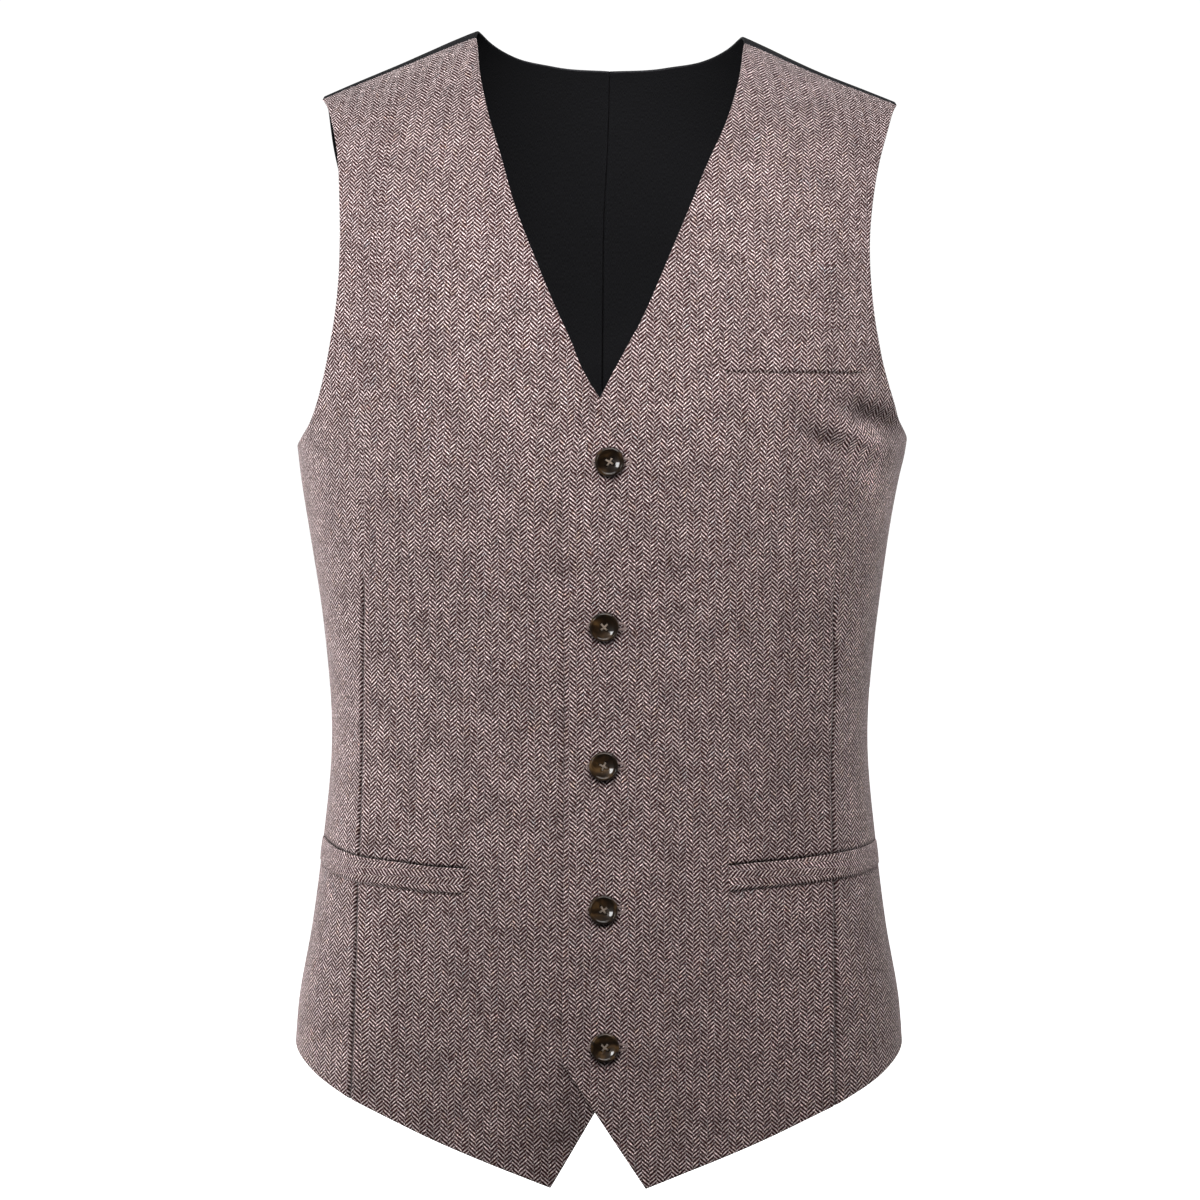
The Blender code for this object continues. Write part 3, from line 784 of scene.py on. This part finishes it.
def new_piece(name, points, faces, uv=None, slots=None, materials=(), painted_shade=None):
    """A smooth mesh object at the origin from points, faces, a place on the cloth and a
    painted shade for each point, and a material number for each face."""
    mesh = bpy.data.meshes.new(name)
    mesh.from_pydata(points.tolist(), [], faces if isinstance(faces, list) else faces.tolist())
    for each in materials:
        mesh.materials.append(each)
    if slots is not None:
        mesh.polygons.foreach_set("material_index", slots.astype(np.int32))
    if uv is not None:
        corners = np.empty(len(mesh.loops), dtype=np.int32)
        mesh.loops.foreach_get("vertex_index", corners)
        layer = mesh.uv_layers.new(name="cloth")
        layer.data.foreach_set("uv", uv[corners].astype(np.float32).ravel())
    if painted_shade is not None:
        mesh.attributes.new("painted_shade", "FLOAT", "POINT").data.foreach_set("value", painted_shade.astype(np.float32))
    mesh.shade_smooth()
    mesh.update()
    made = bpy.data.objects.new(name, mesh)
    bpy.context.scene.collection.objects.link(made)
    return made


def edge_distance(points):
    """For each point of a grid, its length along the grid's lines to the nearest edge."""
    across = np.linalg.norm(np.diff(points, axis=1), axis=-1)
    upward = np.linalg.norm(np.diff(points, axis=0), axis=-1)
    zero_column = np.zeros((points.shape[0], 1))
    zero_row = np.zeros((1, points.shape[1]))
    left = np.concatenate([zero_column, np.cumsum(across, axis=1)], axis=1)
    low = np.concatenate([zero_row, np.cumsum(upward, axis=0)], axis=0)
    return np.minimum.reduce([left, left[:, -1:] - left, low, low[-1:] - low])


def lowered(points):
    """Points above the spring line moved down on the wearer's left: by the shoulder's drop at
    their distance from the middle, times their share of the height of the shoulder there."""
    across = np.clip(points[..., 0], 0, SHOULDER_DROP[-1][0] * MM)
    share = (points[..., 2] - SPRING_HEIGHT) / (shoulder_height(across) - SPRING_HEIGHT)
    points[..., 2] -= np.clip(share, 0, 1.1) * through(across / MM, SHOULDER_DROP, 1) * MM
    return points


def shell(name, angle, level, out, wall, uv, materials, painted_shade=None):
    """Cloth with a thickness: an outer and an inner face off the form that share their edge.
    Within half a wall of the edge both round in on a quarter circle."""
    rim = wall / 2
    distance = edge_distance(off_torso(angle, level, out))
    drop = rim - np.sqrt(rim**2 - np.clip(rim - distance, 0, rim) ** 2)
    outer = lowered(off_torso(angle, level, out - drop))
    inner = lowered(off_torso(angle, level, out - wall + drop))
    rows, columns = angle.shape
    inner_number = np.arange(rows * columns).reshape(rows, columns)
    inside = np.zeros((rows, columns), dtype=bool)
    inside[1:-1, 1:-1] = True
    inner_number[inside] = rows * columns + np.arange(inside.sum())
    points = np.concatenate([outer.reshape(-1, 3), inner[inside]])
    flat = np.stack(uv, axis=-1)
    flat = np.concatenate([flat.reshape(-1, 2), flat[inside]])
    face = quads(rows, columns)
    faces = np.concatenate([face, inner_number.ravel()[face][:, ::-1]])
    if signed_volume(points, faces) < 0:
        faces = faces[:, ::-1]
    deep = distance.ravel()[face].min(axis=1) > TURNING
    slots = np.concatenate([np.zeros(len(face)), deep])
    if painted_shade is not None:
        painted_shade = np.concatenate([painted_shade.ravel(), painted_shade[inside]])
    return new_piece(name, points, faces, flat, slots, materials, painted_shade)


def tube(path, radius, sides):
    """Points and faces of a round tube: circles square to a path, open at both ends."""
    ahead = np.gradient(path, axis=0)
    ahead /= np.linalg.norm(ahead, axis=1, keepdims=True)
    level = np.cross(ahead, np.eye(3)[np.argmin(np.abs(ahead[0]))])
    level /= np.linalg.norm(level, axis=1, keepdims=True)
    upward = np.cross(level, ahead)
    turn = np.linspace(0, 2 * math.pi, sides, endpoint=False)
    ring = np.cos(turn)[None, :, None] * level[:, None] + np.sin(turn)[None, :, None] * upward[:, None]
    points = (path[:, None] + radius * ring).reshape(-1, 3)
    return points, ring_quads(len(path), sides)


# ======== Materials ========


def nodes_of(tree):
    """A short way to add a node: make(type, inputs by name or number, settings)."""

    def make(kind, inputs=None, **settings):
        node = tree.nodes.new(kind)
        for key, value in settings.items():
            setattr(node, key, value)
        for key, value in (inputs or {}).items():
            socket = node.inputs[key]
            if isinstance(value, bpy.types.NodeSocket):
                tree.links.new(value, socket)
            else:
                socket.default_value = value
        return node

    return make


def math_of(make):
    """A short way to add a Math node and take its value."""

    def run(operation, *values):
        return make("ShaderNodeMath", dict(enumerate(values)), operation=operation).outputs[0]

    return run


def vector_run(make, operation, *values):
    """The same for a Vector Math node."""
    return make("ShaderNodeVectorMath", dict(enumerate(values)), operation=operation).outputs[0]


def spread(make, value, start, end, low=0.0, high=1.0, kind="LINEAR"):
    """A value's way from start to end, taken to that from low to high and held beyond it."""
    values = {"Value": value, "From Min": start, "From Max": end, "To Min": low, "To Max": high}
    return make("ShaderNodeMapRange", values, interpolation_type=kind).outputs[0]


def noise(make, place, scale, detail, **more):
    """Noise from 0 to 1 over a place."""
    values = {"Vector": place, "Scale": scale, "Detail": detail, **more}
    return make("ShaderNodeTexNoise", values).outputs["Fac"]


def bump(make, strength, distance, height):
    """The normal of a relief."""
    values = {"Strength": strength, "Distance": distance, "Height": height}
    return make("ShaderNodeBump", values).outputs[0]


def new_group(name, inputs, outputs):
    """A shader node group's tree, with one vector input, further float inputs with their
    values, and float outputs."""
    group = bpy.data.node_groups.new(name, "ShaderNodeTree")
    for socket, value in inputs:
        kind = "NodeSocketVector" if value is None else "NodeSocketFloat"
        made = group.interface.new_socket(socket, in_out="INPUT", socket_type=kind)
        if value is not None:
            made.default_value = value
    for socket in outputs:
        group.interface.new_socket(socket, in_out="OUTPUT", socket_type="NodeSocketFloat")
    return group


# The weave: width of a pair of columns, distance between the pale lines and their climb, how
# far and how finely they wander, and the length of a stretch and of a bead of the yarn
PAIR_WIDTH = 7.86 * MM
LINE_PITCH = 2.23 * MM
LINE_CLIMB = 0.89
WANDER = (0.8 * MM,) * 3
WANDER_SCALE = 160.0
STRETCH = 1.1 * MM
BEAD = 0.41 * MM
BEAD_MIDDLE = 0.2 * MM
BEAD_SHIFT = 0.27 * MM
BEAD_GAIN = 260.0
FIBRE_SCALE = 1500.0
KNOT_SCALE = 1050.0


def herringbone_group():
    """Masks of a herringbone weave from a place on the cloth in metres. The height of a twill
    line is v + a triangle wave of u, and every second column is moved by half a line."""
    group = new_group(
        "herringbone_weave",
        (("Cloth", None), ("Pair width", PAIR_WIDTH), ("Line pitch", LINE_PITCH)),
        ("Yarn", "Relief", "Fleck", "Shade", "Grit"),
    )
    make = nodes_of(group)
    run = math_of(make)
    source = make("NodeGroupInput").outputs
    cloth, pair, pitch = source["Cloth"], source["Pair width"], source["Line pitch"]

    wander = make("ShaderNodeTexNoise", {"Vector": cloth, "Scale": WANDER_SCALE, "Detail": 2.0})
    moved = vector_run(make, "SUBTRACT", wander.outputs["Color"], (0.5, 0.5, 0.5))
    place = vector_run(make, "MULTIPLY_ADD", moved, WANDER, cloth)
    split = make("ShaderNodeSeparateXYZ", {0: place})
    u, v = split.outputs[0], split.outputs[1]

    half = run("MULTIPLY", pair, 0.5)
    wave = run("PINGPONG", u, half)
    column = run("FLOOR", run("DIVIDE", u, half))
    odd = run("FLOORED_MODULO", column, 2.0)
    climb = run("MULTIPLY", wave, LINE_CLIMB)
    lifted = run("ADD", run("ADD", v, climb), run("MULTIPLY", run("MULTIPLY", odd, 0.5), pitch))
    line = run("DIVIDE", lifted, pitch)
    number = run("FLOOR", line)
    phase = run("FRACT", line)
    # 1 on the middle of a pale line, 0 between lines
    hump = run("SUBTRACT", 1.0, run("ABSOLUTE", run("SUBTRACT", run("MULTIPLY", phase, 2.0), 1.0)))
    yarn = spread(make, hump, 0.42, 0.90, kind="SMOOTHSTEP")

    # each short stretch of a line is a little brighter or darker than the next
    cell = (run("DIVIDE", u, STRETCH), run("MULTIPLY", number, 1.37), run("MULTIPLY", column, 0.61))
    cell = make("ShaderNodeCombineXYZ", dict(enumerate(cell))).outputs[0]
    fibre = noise(make, cloth, FIBRE_SCALE, 2.0)
    bead = run("PINGPONG", run("ADD", u, run("MULTIPLY", number, BEAD_SHIFT)), BEAD)
    shade = run("ADD", run("MULTIPLY", noise(make, cell, 1.0, 1.0), 0.6), run("MULTIPLY", fibre, 0.4))
    shade = run("ADD", shade, run("MULTIPLY", run("SUBTRACT", bead, BEAD_MIDDLE), BEAD_GAIN))
    values = {
        "Yarn": yarn,
        "Relief": run("ADD", yarn, run("MULTIPLY", fibre, 0.5)),
        "Fleck": noise(make, cell, 0.23, 3.0, Roughness=0.7),
        "Shade": spread(make, shade, 0.38, 0.62),
        "Grit": spread(make, noise(make, cloth, KNOT_SCALE, 1.0), 0.34, 0.66, 0.42, 1.58),
    }
    make("NodeGroupOutput", values)
    return group


def ramp(make, factor, *stops):
    """A colour ramp through (place, colour) stops."""
    node = make("ShaderNodeValToRGB", {"Fac": factor})
    elements = node.color_ramp.elements
    for _ in range(len(stops) - len(elements)):
        elements.new(0.5)
    for element, (place, color) in zip(elements, stops):
        element.position = place
        element.color = (*color, 1)
    return node.outputs["Color"]


def mixed(make, factor, first, second, blend="MIX"):
    """Mix of two colours, each a socket or an RGB triple."""
    values = {0: factor}
    for number, value in ((6, first), (7, second)):
        values[number] = value if isinstance(value, bpy.types.NodeSocket) else (*value, 1)
    return make("ShaderNodeMix", values, data_type="RGBA", blend_type=blend).outputs[2]


def new_material(name, **shader):
    """A material with its Principled shader's constants set, and ways to add nodes."""
    made = bpy.data.materials.new(name)
    made.use_nodes = True
    tree = made.node_tree
    principled = tree.nodes["Principled BSDF"]
    for key, value in shader.items():
        principled.inputs[key.replace("_", " ")].default_value = value
    return made, principled, nodes_of(tree), tree.links.new


def button_shade_group():
    """How much darker the cloth is painted beside the buttons, as their shadow, from its place:
    for each button SHADE · (1 - (3t² - 2t³)), with t the share of the reach, and the most of them."""
    group = new_group("button_shade", (("Place", None),), ("Dim",))
    make = nodes_of(group)
    run = math_of(make)
    place = vector_run(make, "MULTIPLY", make("NodeGroupInput").outputs["Place"], (1, 0, 1))
    most = 0.0
    for row in BUTTON_PLACES:
        seat = button_frame(row)[0]
        middle = (seat.x + BUTTON_SHADE_SHIFT[0], 0, seat.z + BUTTON_SHADE_SHIFT[1])
        far = make("ShaderNodeVectorMath", {0: place, 1: middle}, operation="DISTANCE").outputs["Value"]
        most = run("MAXIMUM", most, spread(make, far, *BUTTON_SHADE_REACH, BUTTON_SHADE, 0.0, "SMOOTHSTEP"))
    make("NodeGroupOutput", {"Dim": most})
    return group


DARK_YARN = (0.033, 0.0072, 0.0085)
PALE_YARN = (0.98, 0.80, 0.80)


def tweed_material(weave, beside_button):
    """Pale wool lines on dark brown, with red, ochre and blue-grey flecks, and a soft nap.
    It is darker by the painted shade in the piece's own attribute and by the painted shadow beside the
    buttons."""
    made, principled, make, link = new_material(
        "herringbone_tweed",
        Roughness=0.92,
        Specular_IOR_Level=0.1,
        Sheen_Weight=0.3,
        Sheen_Roughness=0.32,
        Sheen_Tint=(0.95, 0.86, 0.84, 1),
    )
    run = math_of(make)
    cloth = make("ShaderNodeTexCoord").outputs["UV"]
    bone = make("ShaderNodeGroup", node_tree=weave)
    link(cloth, bone.inputs["Cloth"])
    yarn, shade, fleck = bone.outputs["Yarn"], bone.outputs["Shade"], bone.outputs["Fleck"]
    pale = mixed(make, shade, (0.34, 0.268, 0.266), PALE_YARN)
    tint = ramp(
        make,
        fleck,
        (0.28, (0.84, 0.96, 1.0)),
        (0.40, (1.0, 1.0, 1.0)),
        (0.60, (1.0, 1.0, 1.0)),
        (0.66, (1.0, 0.96, 0.86)),
        (0.74, (1.0, 0.84, 0.84)),
    )
    pale = mixed(make, 1.0, pale, tint, "MULTIPLY")
    dark = mixed(make, shade, DARK_YARN, (0.058, 0.027, 0.026))
    color = mixed(make, yarn, dark, pale)
    broad = spread(make, noise(make, cloth, 60.0, 4.0), 0.3, 0.7, 0.80, 1.13)
    # painted shade: the piece's own attribute darkens the colour where shade would fall
    painted_shade = make("ShaderNodeAttribute", attribute_name="painted_shade").outputs["Fac"]
    place = make("ShaderNodeTexCoord").outputs["Object"]
    # painted shadow beside the buttons
    beside = make("ShaderNodeGroup", node_tree=beside_button)
    link(place, beside.inputs["Place"])
    kept = run("MULTIPLY", run("SUBTRACT", 1.0, painted_shade), run("SUBTRACT", 1.0, beside.outputs["Dim"]))
    value = run("MULTIPLY", run("MULTIPLY", broad, bone.outputs["Grit"]), kept)
    value = make("ShaderNodeCombineColor", {0: value, 1: value, 2: value}).outputs[0]
    link(mixed(make, 1.0, color, value, "MULTIPLY"), principled.inputs["Base Color"])
    link(bump(make, 0.8, 0.3 * MM, bone.outputs["Relief"]), principled.inputs["Normal"])
    return made


def satin_material():
    """Black satin: long fine floats up the cloth, a soft sheen and faint cloudy gloss."""
    made, principled, make, link = new_material(
        "black_satin",
        Metallic=0.5,
        Specular_IOR_Level=0.02,
        Specular_Tint=(0.1, 0.1, 0.1, 1),
    )
    cloth = make("ShaderNodeTexCoord").outputs["UV"]
    stretched = make("ShaderNodeMapping", {"Vector": cloth, "Scale": (5200.0, 900.0, 1.0)})
    floats = noise(make, stretched.outputs[0], 1.0, 2.0)
    cloudy = noise(make, cloth, 45.0, 3.0)
    color = ramp(make, floats, (0.3, (0.014, 0.014, 0.0155)), (0.7, (0.042, 0.042, 0.046)))
    link(color, principled.inputs["Base Color"])
    link(spread(make, cloudy, 0.3, 0.7, 0.38, 0.48), principled.inputs["Roughness"])
    link(bump(make, 0.25, 0.05 * MM, floats), principled.inputs["Normal"])
    return made


def horn_material():
    """Dark horn: near black, with olive and golden-brown clouds and streaks, polished."""
    made, principled, make, link = new_material(
        "dark_horn",
        Specular_IOR_Level=0.15,
        Coat_Weight=0.6,
        Coat_Roughness=0.07,
    )
    place = make("ShaderNodeTexCoord").outputs["Object"]
    color = ramp(
        make,
        noise(make, place, 95.0, 4.0, Distortion=1.2),
        (0.34, (0.0055, 0.0028, 0.0012)),
        (0.47, (0.014, 0.0072, 0.0030)),
        (0.57, (0.036, 0.019, 0.0075)),
        (0.68, (0.095, 0.052, 0.020)),
    )
    link(color, principled.inputs["Base Color"])
    rough = spread(make, noise(make, place, 900.0, 3.0), 0.3, 0.7, 0.32, 0.46)
    link(rough, principled.inputs["Roughness"])
    return made


def thread_material(name, color, scale):
    """Twisted thread: its colour with fine darker strands, dull."""
    made, principled, make, link = new_material(name, Roughness=0.75, Sheen_Weight=0.15)
    place = make("ShaderNodeTexCoord").outputs["Object"]
    strands = noise(make, place, scale, 2.0)
    darker = tuple(part * 0.45 for part in color)
    link(ramp(make, strands, (0.35, darker), (0.6, color)), principled.inputs["Base Color"])
    link(bump(make, 0.5, 0.1 * MM, strands), principled.inputs["Normal"])
    return made


# ======== The pieces ========

TWEED = tweed_material(herringbone_group(), button_shade_group())
SATIN = satin_material()
HORN = horn_material()
BUTTON_THREAD = thread_material("button_thread", (0.37, 0.285, 0.22), 6000.0)
HOLE_THREAD = thread_material("buttonhole_thread", (0.30, 0.215, 0.20), 3000.0)


def seated(piece, slot, *nodes):
    """A piece rides on the one body and stands for its solids, which are hidden. Its slot is not used."""
    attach(piece, "root")
    if nodes:
        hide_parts(*nodes)
    return piece


def taken_in(across, height):
    """How far the grain has run behind the form's girth: the cloth is eased round the side, so
    that its columns widen there. The sum of share · (3t² - 2t³) from EASE_START on."""
    span = EASE_END - EASE_START
    t = np.clip((across - EASE_START) / span, 0, 1)
    run = span * (t**3 - t**4 / 2) + np.maximum(across - EASE_END, 0)
    low, high = EASE_SHARE
    return run * (low + (high - low) * eased(height, *EASE_HEIGHTS))


def make_front(side, name):
    """A front: its grid, its folds and seams, and its grain, which jumps at the dart by the
    cloth that the dart takes in."""
    grid = front_grid(side)
    angle, level = grid[..., 0], grid[..., 1]
    seams, painted_shade = front_seams(side, angle, level)
    out = front_base(side, side * angle, level) + seams
    height = ring_height(level)
    if side < 0:
        place = torso(side * angle, level)
        # painted shadow of the upper front's edge on the under front
        painted_shade = np.maximum(painted_shade, lap_shade(place[..., 0], place[..., 2]))
    across, upward = grain(angle, level)
    past = girth(angle, level) > girth(dart_angle(side, level), level) + 0.01 * MM
    across = across - taken_in(across, height) + np.where(past, through(height / MM, DART_TAKE, 1) * MM, 0)
    moved, raised = GRAIN_START[side]
    flat = (side * across + moved, upward + raised)
    piece = shell(f"tweed_front_{name}", side * angle, level, out, FRONT_WALL, flat, (TWEED, SATIN), painted_shade)
    return seated(piece, "tweed", f"front_{name}")


def make_back(side, name):
    """A back, with the grain of its satin up the wearer."""
    grid = back_grid(side)
    angle, level = grid[..., 0], grid[..., 1]
    out = back_out(side, angle, level)
    flat = (side * (angle - MIDDLE_BACK_ANGLE) * BACK_ARC, level)
    piece = shell(f"satin_back_{name}", side * angle, level, out, BACK_WALL, flat, (SATIN, SATIN))
    return seated(piece, "satin", f"back_{name}")


def make_welt(side, mouth, height, name, turned, rise):
    """A welt laid on its front: its lower edge sinks into the seam, its upper edge is free.
    Where it is turned, the herringbone runs along it."""
    long = (mouth[-1][0] - mouth[0][0]) * WAIST_ARC
    column, row = steps(long, True, True), steps(height, True, True)
    angle = mouth[0][0] + (mouth[-1][0] - mouth[0][0]) * column
    top = line_level(mouth)(angle)
    level = top[None, :] - height * (1 - row[:, None])
    angle = np.broadcast_to(angle, level.shape)
    below = level - level[0]
    sink = (rise + SEAM_GAP + WELT_BITE) * (1 - eased(below, 0, WELT_BITE_HEIGHT))
    crown = WELT_CROWN * np.sin(np.pi * np.clip(below / height, 0, 1))
    flatter = WELT_FLATTER * rise * eased(angle, *WELT_FLATTENS)
    out = front_base(side, side * angle, level) + SEAM_GAP + rise + crown - sink - flatter
    across, upward = grain(angle, level)
    uv = (side * across + WELT_GRAIN[0], upward + WELT_GRAIN[1])
    if turned:
        uv = (upward + TURNED_GRAIN, across)
    piece = shell(f"tweed_welt_{name}", side * angle, level, out, rise, uv, (TWEED, TWEED))
    return seated(piece, "tweed", f"welt_{name}")


def placed(points, seat, turn):
    """Points turned by a quaternion and moved to a seat."""
    return points @ np.array(turn.to_matrix()).T + np.array(seat)


def button_points():
    """A button: its profile turned once round, with a pit at each of the four holes whose
    depth falls off over the hole's edge."""
    profile = np.array(BUTTON_PROFILE) * MM * (BUTTON_SIZE, 1)
    length = running_length(np.column_stack([profile, np.zeros(len(profile))]))
    table = np.column_stack([length, profile])
    at = np.linspace(0, length[-1], BUTTON_RINGS + 1)[1:-1]
    radius, height = through(at, table, 1), through(at, table, 2)
    turn = np.linspace(0, 2 * math.pi, BUTTON_TURNS, endpoint=False)
    x, y = radius[:, None] * np.cos(turn), radius[:, None] * np.sin(turn)
    off = np.hypot(np.abs(x) - HOLE_OFFSET, np.abs(y) - HOLE_OFFSET)
    pit = HOLE_DEPTH * (1 - eased(off, HOLE_RADIUS - HOLE_EDGE, HOLE_RADIUS + HOLE_EDGE))
    on_top = (at < length[10])[:, None]
    z = height[:, None] - np.where(on_top, pit, 0)
    ring = np.stack([x, y, z], axis=-1).reshape(-1, 3)
    return np.concatenate([ring, [[0, 0, profile[0, 1]], [0, 0, profile[-1, 1]]]])


def button_faces():
    """Quads round the button's rings, and fans to its two poles."""
    wall = np.roll(ring_quads(BUTTON_RINGS - 1, BUTTON_TURNS)[:, ::-1], 1, axis=1)
    last = (BUTTON_RINGS - 2) * BUTTON_TURNS
    top, under = last + BUTTON_TURNS, last + BUTTON_TURNS + 1
    sides = [(side, (side + 1) % BUTTON_TURNS) for side in range(BUTTON_TURNS)]
    fans = [(top, a, b) for a, b in sides] + [(under, last + b, last + a) for a, b in sides]
    return wall.tolist() + fans


def make_button(number, place):
    """A horn button, and its crossed thread: strands side by side that rise out of one hole
    and go down in the one across from it."""
    seat, turn = button_frame(place)
    points = placed(button_points(), seat, turn)
    button = new_piece(f"horn_button_{number}", points, button_faces(), materials=(HORN,))
    seated(button, "horn", f"button_{number}")

    share = np.linspace(-1, 1, 25)
    parts, faces, used = [], [], 0
    for diagonal, lift in ((1, 0.0), (-1, 2 * THREAD_RADIUS)):
        for strand in range(STRANDS):
            beside = (strand - (STRANDS - 1) / 2) * THREAD_STEP
            along = share * HOLE_OFFSET * math.sqrt(2)
            x = (along - diagonal * beside) / math.sqrt(2)
            y = diagonal * (along + diagonal * beside) / math.sqrt(2)
            dive = THREAD_DIVE * eased(np.abs(share), THREAD_DIVE_START, 1.0)
            height = THREAD_HEIGHT + (THREAD_ARCH + lift) * (1 - share**4) - dive
            points, face = tube(np.stack([x, y, height], axis=-1), THREAD_RADIUS, THREAD_SIDES)
            parts.append(points)
            faces.append(face + used)
            used += len(points)
    points = placed(np.concatenate(parts), seat, turn)
    thread = new_piece(f"thread_{number}", points, np.concatenate(faces), materials=(BUTTON_THREAD,))
    seated(thread, "tweed")


def make_buttonhole(number, place):
    """A worked buttonhole behind a button: a band along a long oval, half round in section,
    whose height ripples with its stitches."""
    across, height = place[0] * MM, place[1] * MM
    reach = (HOLE_REACH_IN + HOLE_REACH_OUT) / 2 - HOLE_HALF_WIDTH
    middle = (HOLE_REACH_IN - HOLE_REACH_OUT) / 2
    length = 4 * reach + 2 * math.pi * HOLE_HALF_WIDTH
    run = np.linspace(0, length, HOLE_SAMPLES, endpoint=False)
    # round the oval: straight, half circle, straight back, half circle
    straight, bend = 2 * reach, math.pi * HOLE_HALF_WIDTH
    parts = [run < straight, run < straight + bend, run < 2 * straight + bend]
    turns = [0 * run, (run - straight) / HOLE_HALF_WIDTH, 0 * run + math.pi]
    turn = np.select(parts, turns, (run - 2 * straight - bend) / HOLE_HALF_WIDTH + math.pi)
    centres = [run - reach, 0 * run + reach, reach - (run - straight - bend)]
    centre = np.select(parts, centres, 0 * run - reach)
    outward = np.stack([np.sin(turn), -np.cos(turn)], axis=-1)
    section = np.linspace(0, math.pi, 9)
    stitch = 1 + HOLE_RIPPLE * np.cos(2 * math.pi * run / HOLE_STITCH)
    away = HOLE_HALF_WIDTH + HOLE_BAND / 2 - HOLE_BAND / 2 * np.cos(section)
    x = across + middle + centre[:, None] + outward[:, :1] * away
    z = height + outward[:, 1:] * away
    up = HOLE_RISE * np.sin(section) * stitch[:, None] - HOLE_SINK
    level = z - SPRING_HEIGHT
    angle = angle_of(x, level)
    points = off_torso(angle, level, front_base(1, angle, level) + up).reshape(-1, 3)
    faces = quads(HOLE_SAMPLES + 1, len(section)) % len(points)
    piece = new_piece(f"buttonhole_{number}", points, faces, materials=(HOLE_THREAD,))
    seated(piece, "tweed")


fronts = {name: make_front(side, name) for side, name in ((1, "left"), (-1, "right"))}
backs = {name: make_back(side, name) for side, name in ((1, "left"), (-1, "right"))}
welts = {
    name: make_welt(side, WAIST_MOUTH[side], WAIST_WELT_HEIGHT, name, True, WELT_WALL)
    for side, name in ((1, "left"), (-1, "right"))
}
welts["breast"] = make_welt(1, BREAST_MOUTH, BREAST_WELT_HEIGHT, "breast", False, WELT_WALL * 0.8)
for number, place in enumerate(BUTTON_PLACES, start=1):
    make_button(number, place)
    make_buttonhole(number, place)


# ======== Studio ========

FLOOR_HEIGHT = -0.70
CAMERA_DISTANCE = 4.0
CAMERA_HEIGHT = -0.293
VIEW_WIDTH = 0.66
SENSOR = 36.0
FRONT_STRENGTH = 0.03
BACKDROP_STRENGTH = 0.4

# name, place, point it faces, width, height (m), power (W), what it is for: "cloth" lights
# leave no glint on the buttons, "polish" lights are cards that only the buttons mirror
LIGHTS = (
    ("front", (0.0, -0.82, 0.24), (0, 0, 0), 1.1, 0.7, 14, "cloth"),
    ("left", (-1.8, -0.1, -0.2), (0, 0, -0.3), 0.6, 1.0, 16.5, "cloth"),
    ("left_back", (-3.0, 1.6, -0.3), (0, 0, -0.3), 1.5, 1.5, 152, "cloth"),
    ("right", (1.8, -0.1, -0.6), (0, 0, -0.2), 0.5, 0.3, 2, "cloth"),
    ("right_back", (2.0, 0.6, 0.8), (0, 0, -0.1), 1.0, 1.0, 19, "cloth"),
    ("card_above", (0.2, -0.6, 1.5), (0, 0, -0.3), 2.6, 0.5, 40, "polish"),
    ("card_left", (-0.86, -1.72, -0.06), (0, 0, -0.38), 0.42, 0.50, 17, "polish"),
    ("satin_left", (-2.0, 2.2, 0.5), (0, 0, -0.3), 1.2, 2.0, 60, "polish"),
    ("satin_right", (2.4, 2.0, 0.2), (0, 0, -0.3), 0.9, 1.8, 28, "polish"),
)


def make_floor():
    """A wide pale floor that glows a little, as a lit white sweep does."""
    made, *_ = new_material(
        "pale_floor",
        Base_Color=(0.9, 0.9, 0.9, 1),
        Roughness=0.9,
        Emission_Color=(1, 1, 1, 1),
        Emission_Strength=1.05,
    )
    bpy.ops.mesh.primitive_plane_add(size=60, location=(0, 0, FLOOR_HEIGHT))
    floor = bpy.context.object
    floor.name = "floor"
    floor.data.materials.append(made)
    floor.visible_diffuse = False
    floor.visible_glossy = False


def make_light(name, place, aim, width, height, power, use):
    """A soft rectangular light that faces a point."""
    data = bpy.data.lights.new(name, "AREA")
    data.shape = "RECTANGLE"
    data.size, data.size_y, data.energy = width, height, power
    light = bpy.data.objects.new(name, data)
    bpy.context.scene.collection.objects.link(light)
    light.location = place
    light.rotation_euler = (Vector(aim) - Vector(place)).to_track_quat("-Z", "Y").to_euler()
    light.visible_glossy = use != "cloth"
    light.visible_diffuse = use != "polish"


def make_world():
    """White to the camera. To the cloth it is a bright backdrop behind it and dim before it:
    the strength goes from FRONT to BACKDROP with the direction's share of +Y."""
    world = bpy.data.worlds.new("studio")
    bpy.context.scene.world = world
    world.use_nodes = True
    make = nodes_of(world.node_tree)
    way = make("ShaderNodeTexCoord").outputs["Generated"]
    behind = make("ShaderNodeSeparateXYZ", {0: way}).outputs[1]
    lit = spread(make, behind, -0.15, 0.35, FRONT_STRENGTH, BACKDROP_STRENGTH)
    seen = make("ShaderNodeLightPath").outputs["Is Camera Ray"]
    strength = make("ShaderNodeMix", {0: seen, 2: lit, 3: 1.05}, data_type="FLOAT").outputs[0]
    back = world.node_tree.nodes["Background"]
    back.inputs["Color"].default_value = (1, 1, 1, 1)
    world.node_tree.links.new(strength, back.inputs["Strength"])


def make_camera():
    """Level with the middle of the garment and square to its front."""
    data = bpy.data.cameras.new("camera")
    data.sensor_width = SENSOR
    data.lens = SENSOR * CAMERA_DISTANCE / VIEW_WIDTH
    camera = bpy.data.objects.new("camera", data)
    bpy.context.scene.collection.objects.link(camera)
    camera.location = (0, -CAMERA_DISTANCE, CAMERA_HEIGHT)
    camera.rotation_euler = (math.radians(90), 0, 0)
    bpy.context.scene.camera = camera


make_floor()
make_world()
for row in LIGHTS:
    make_light(*row)
make_camera()
bpy.context.scene.view_settings.view_transform = "Standard"
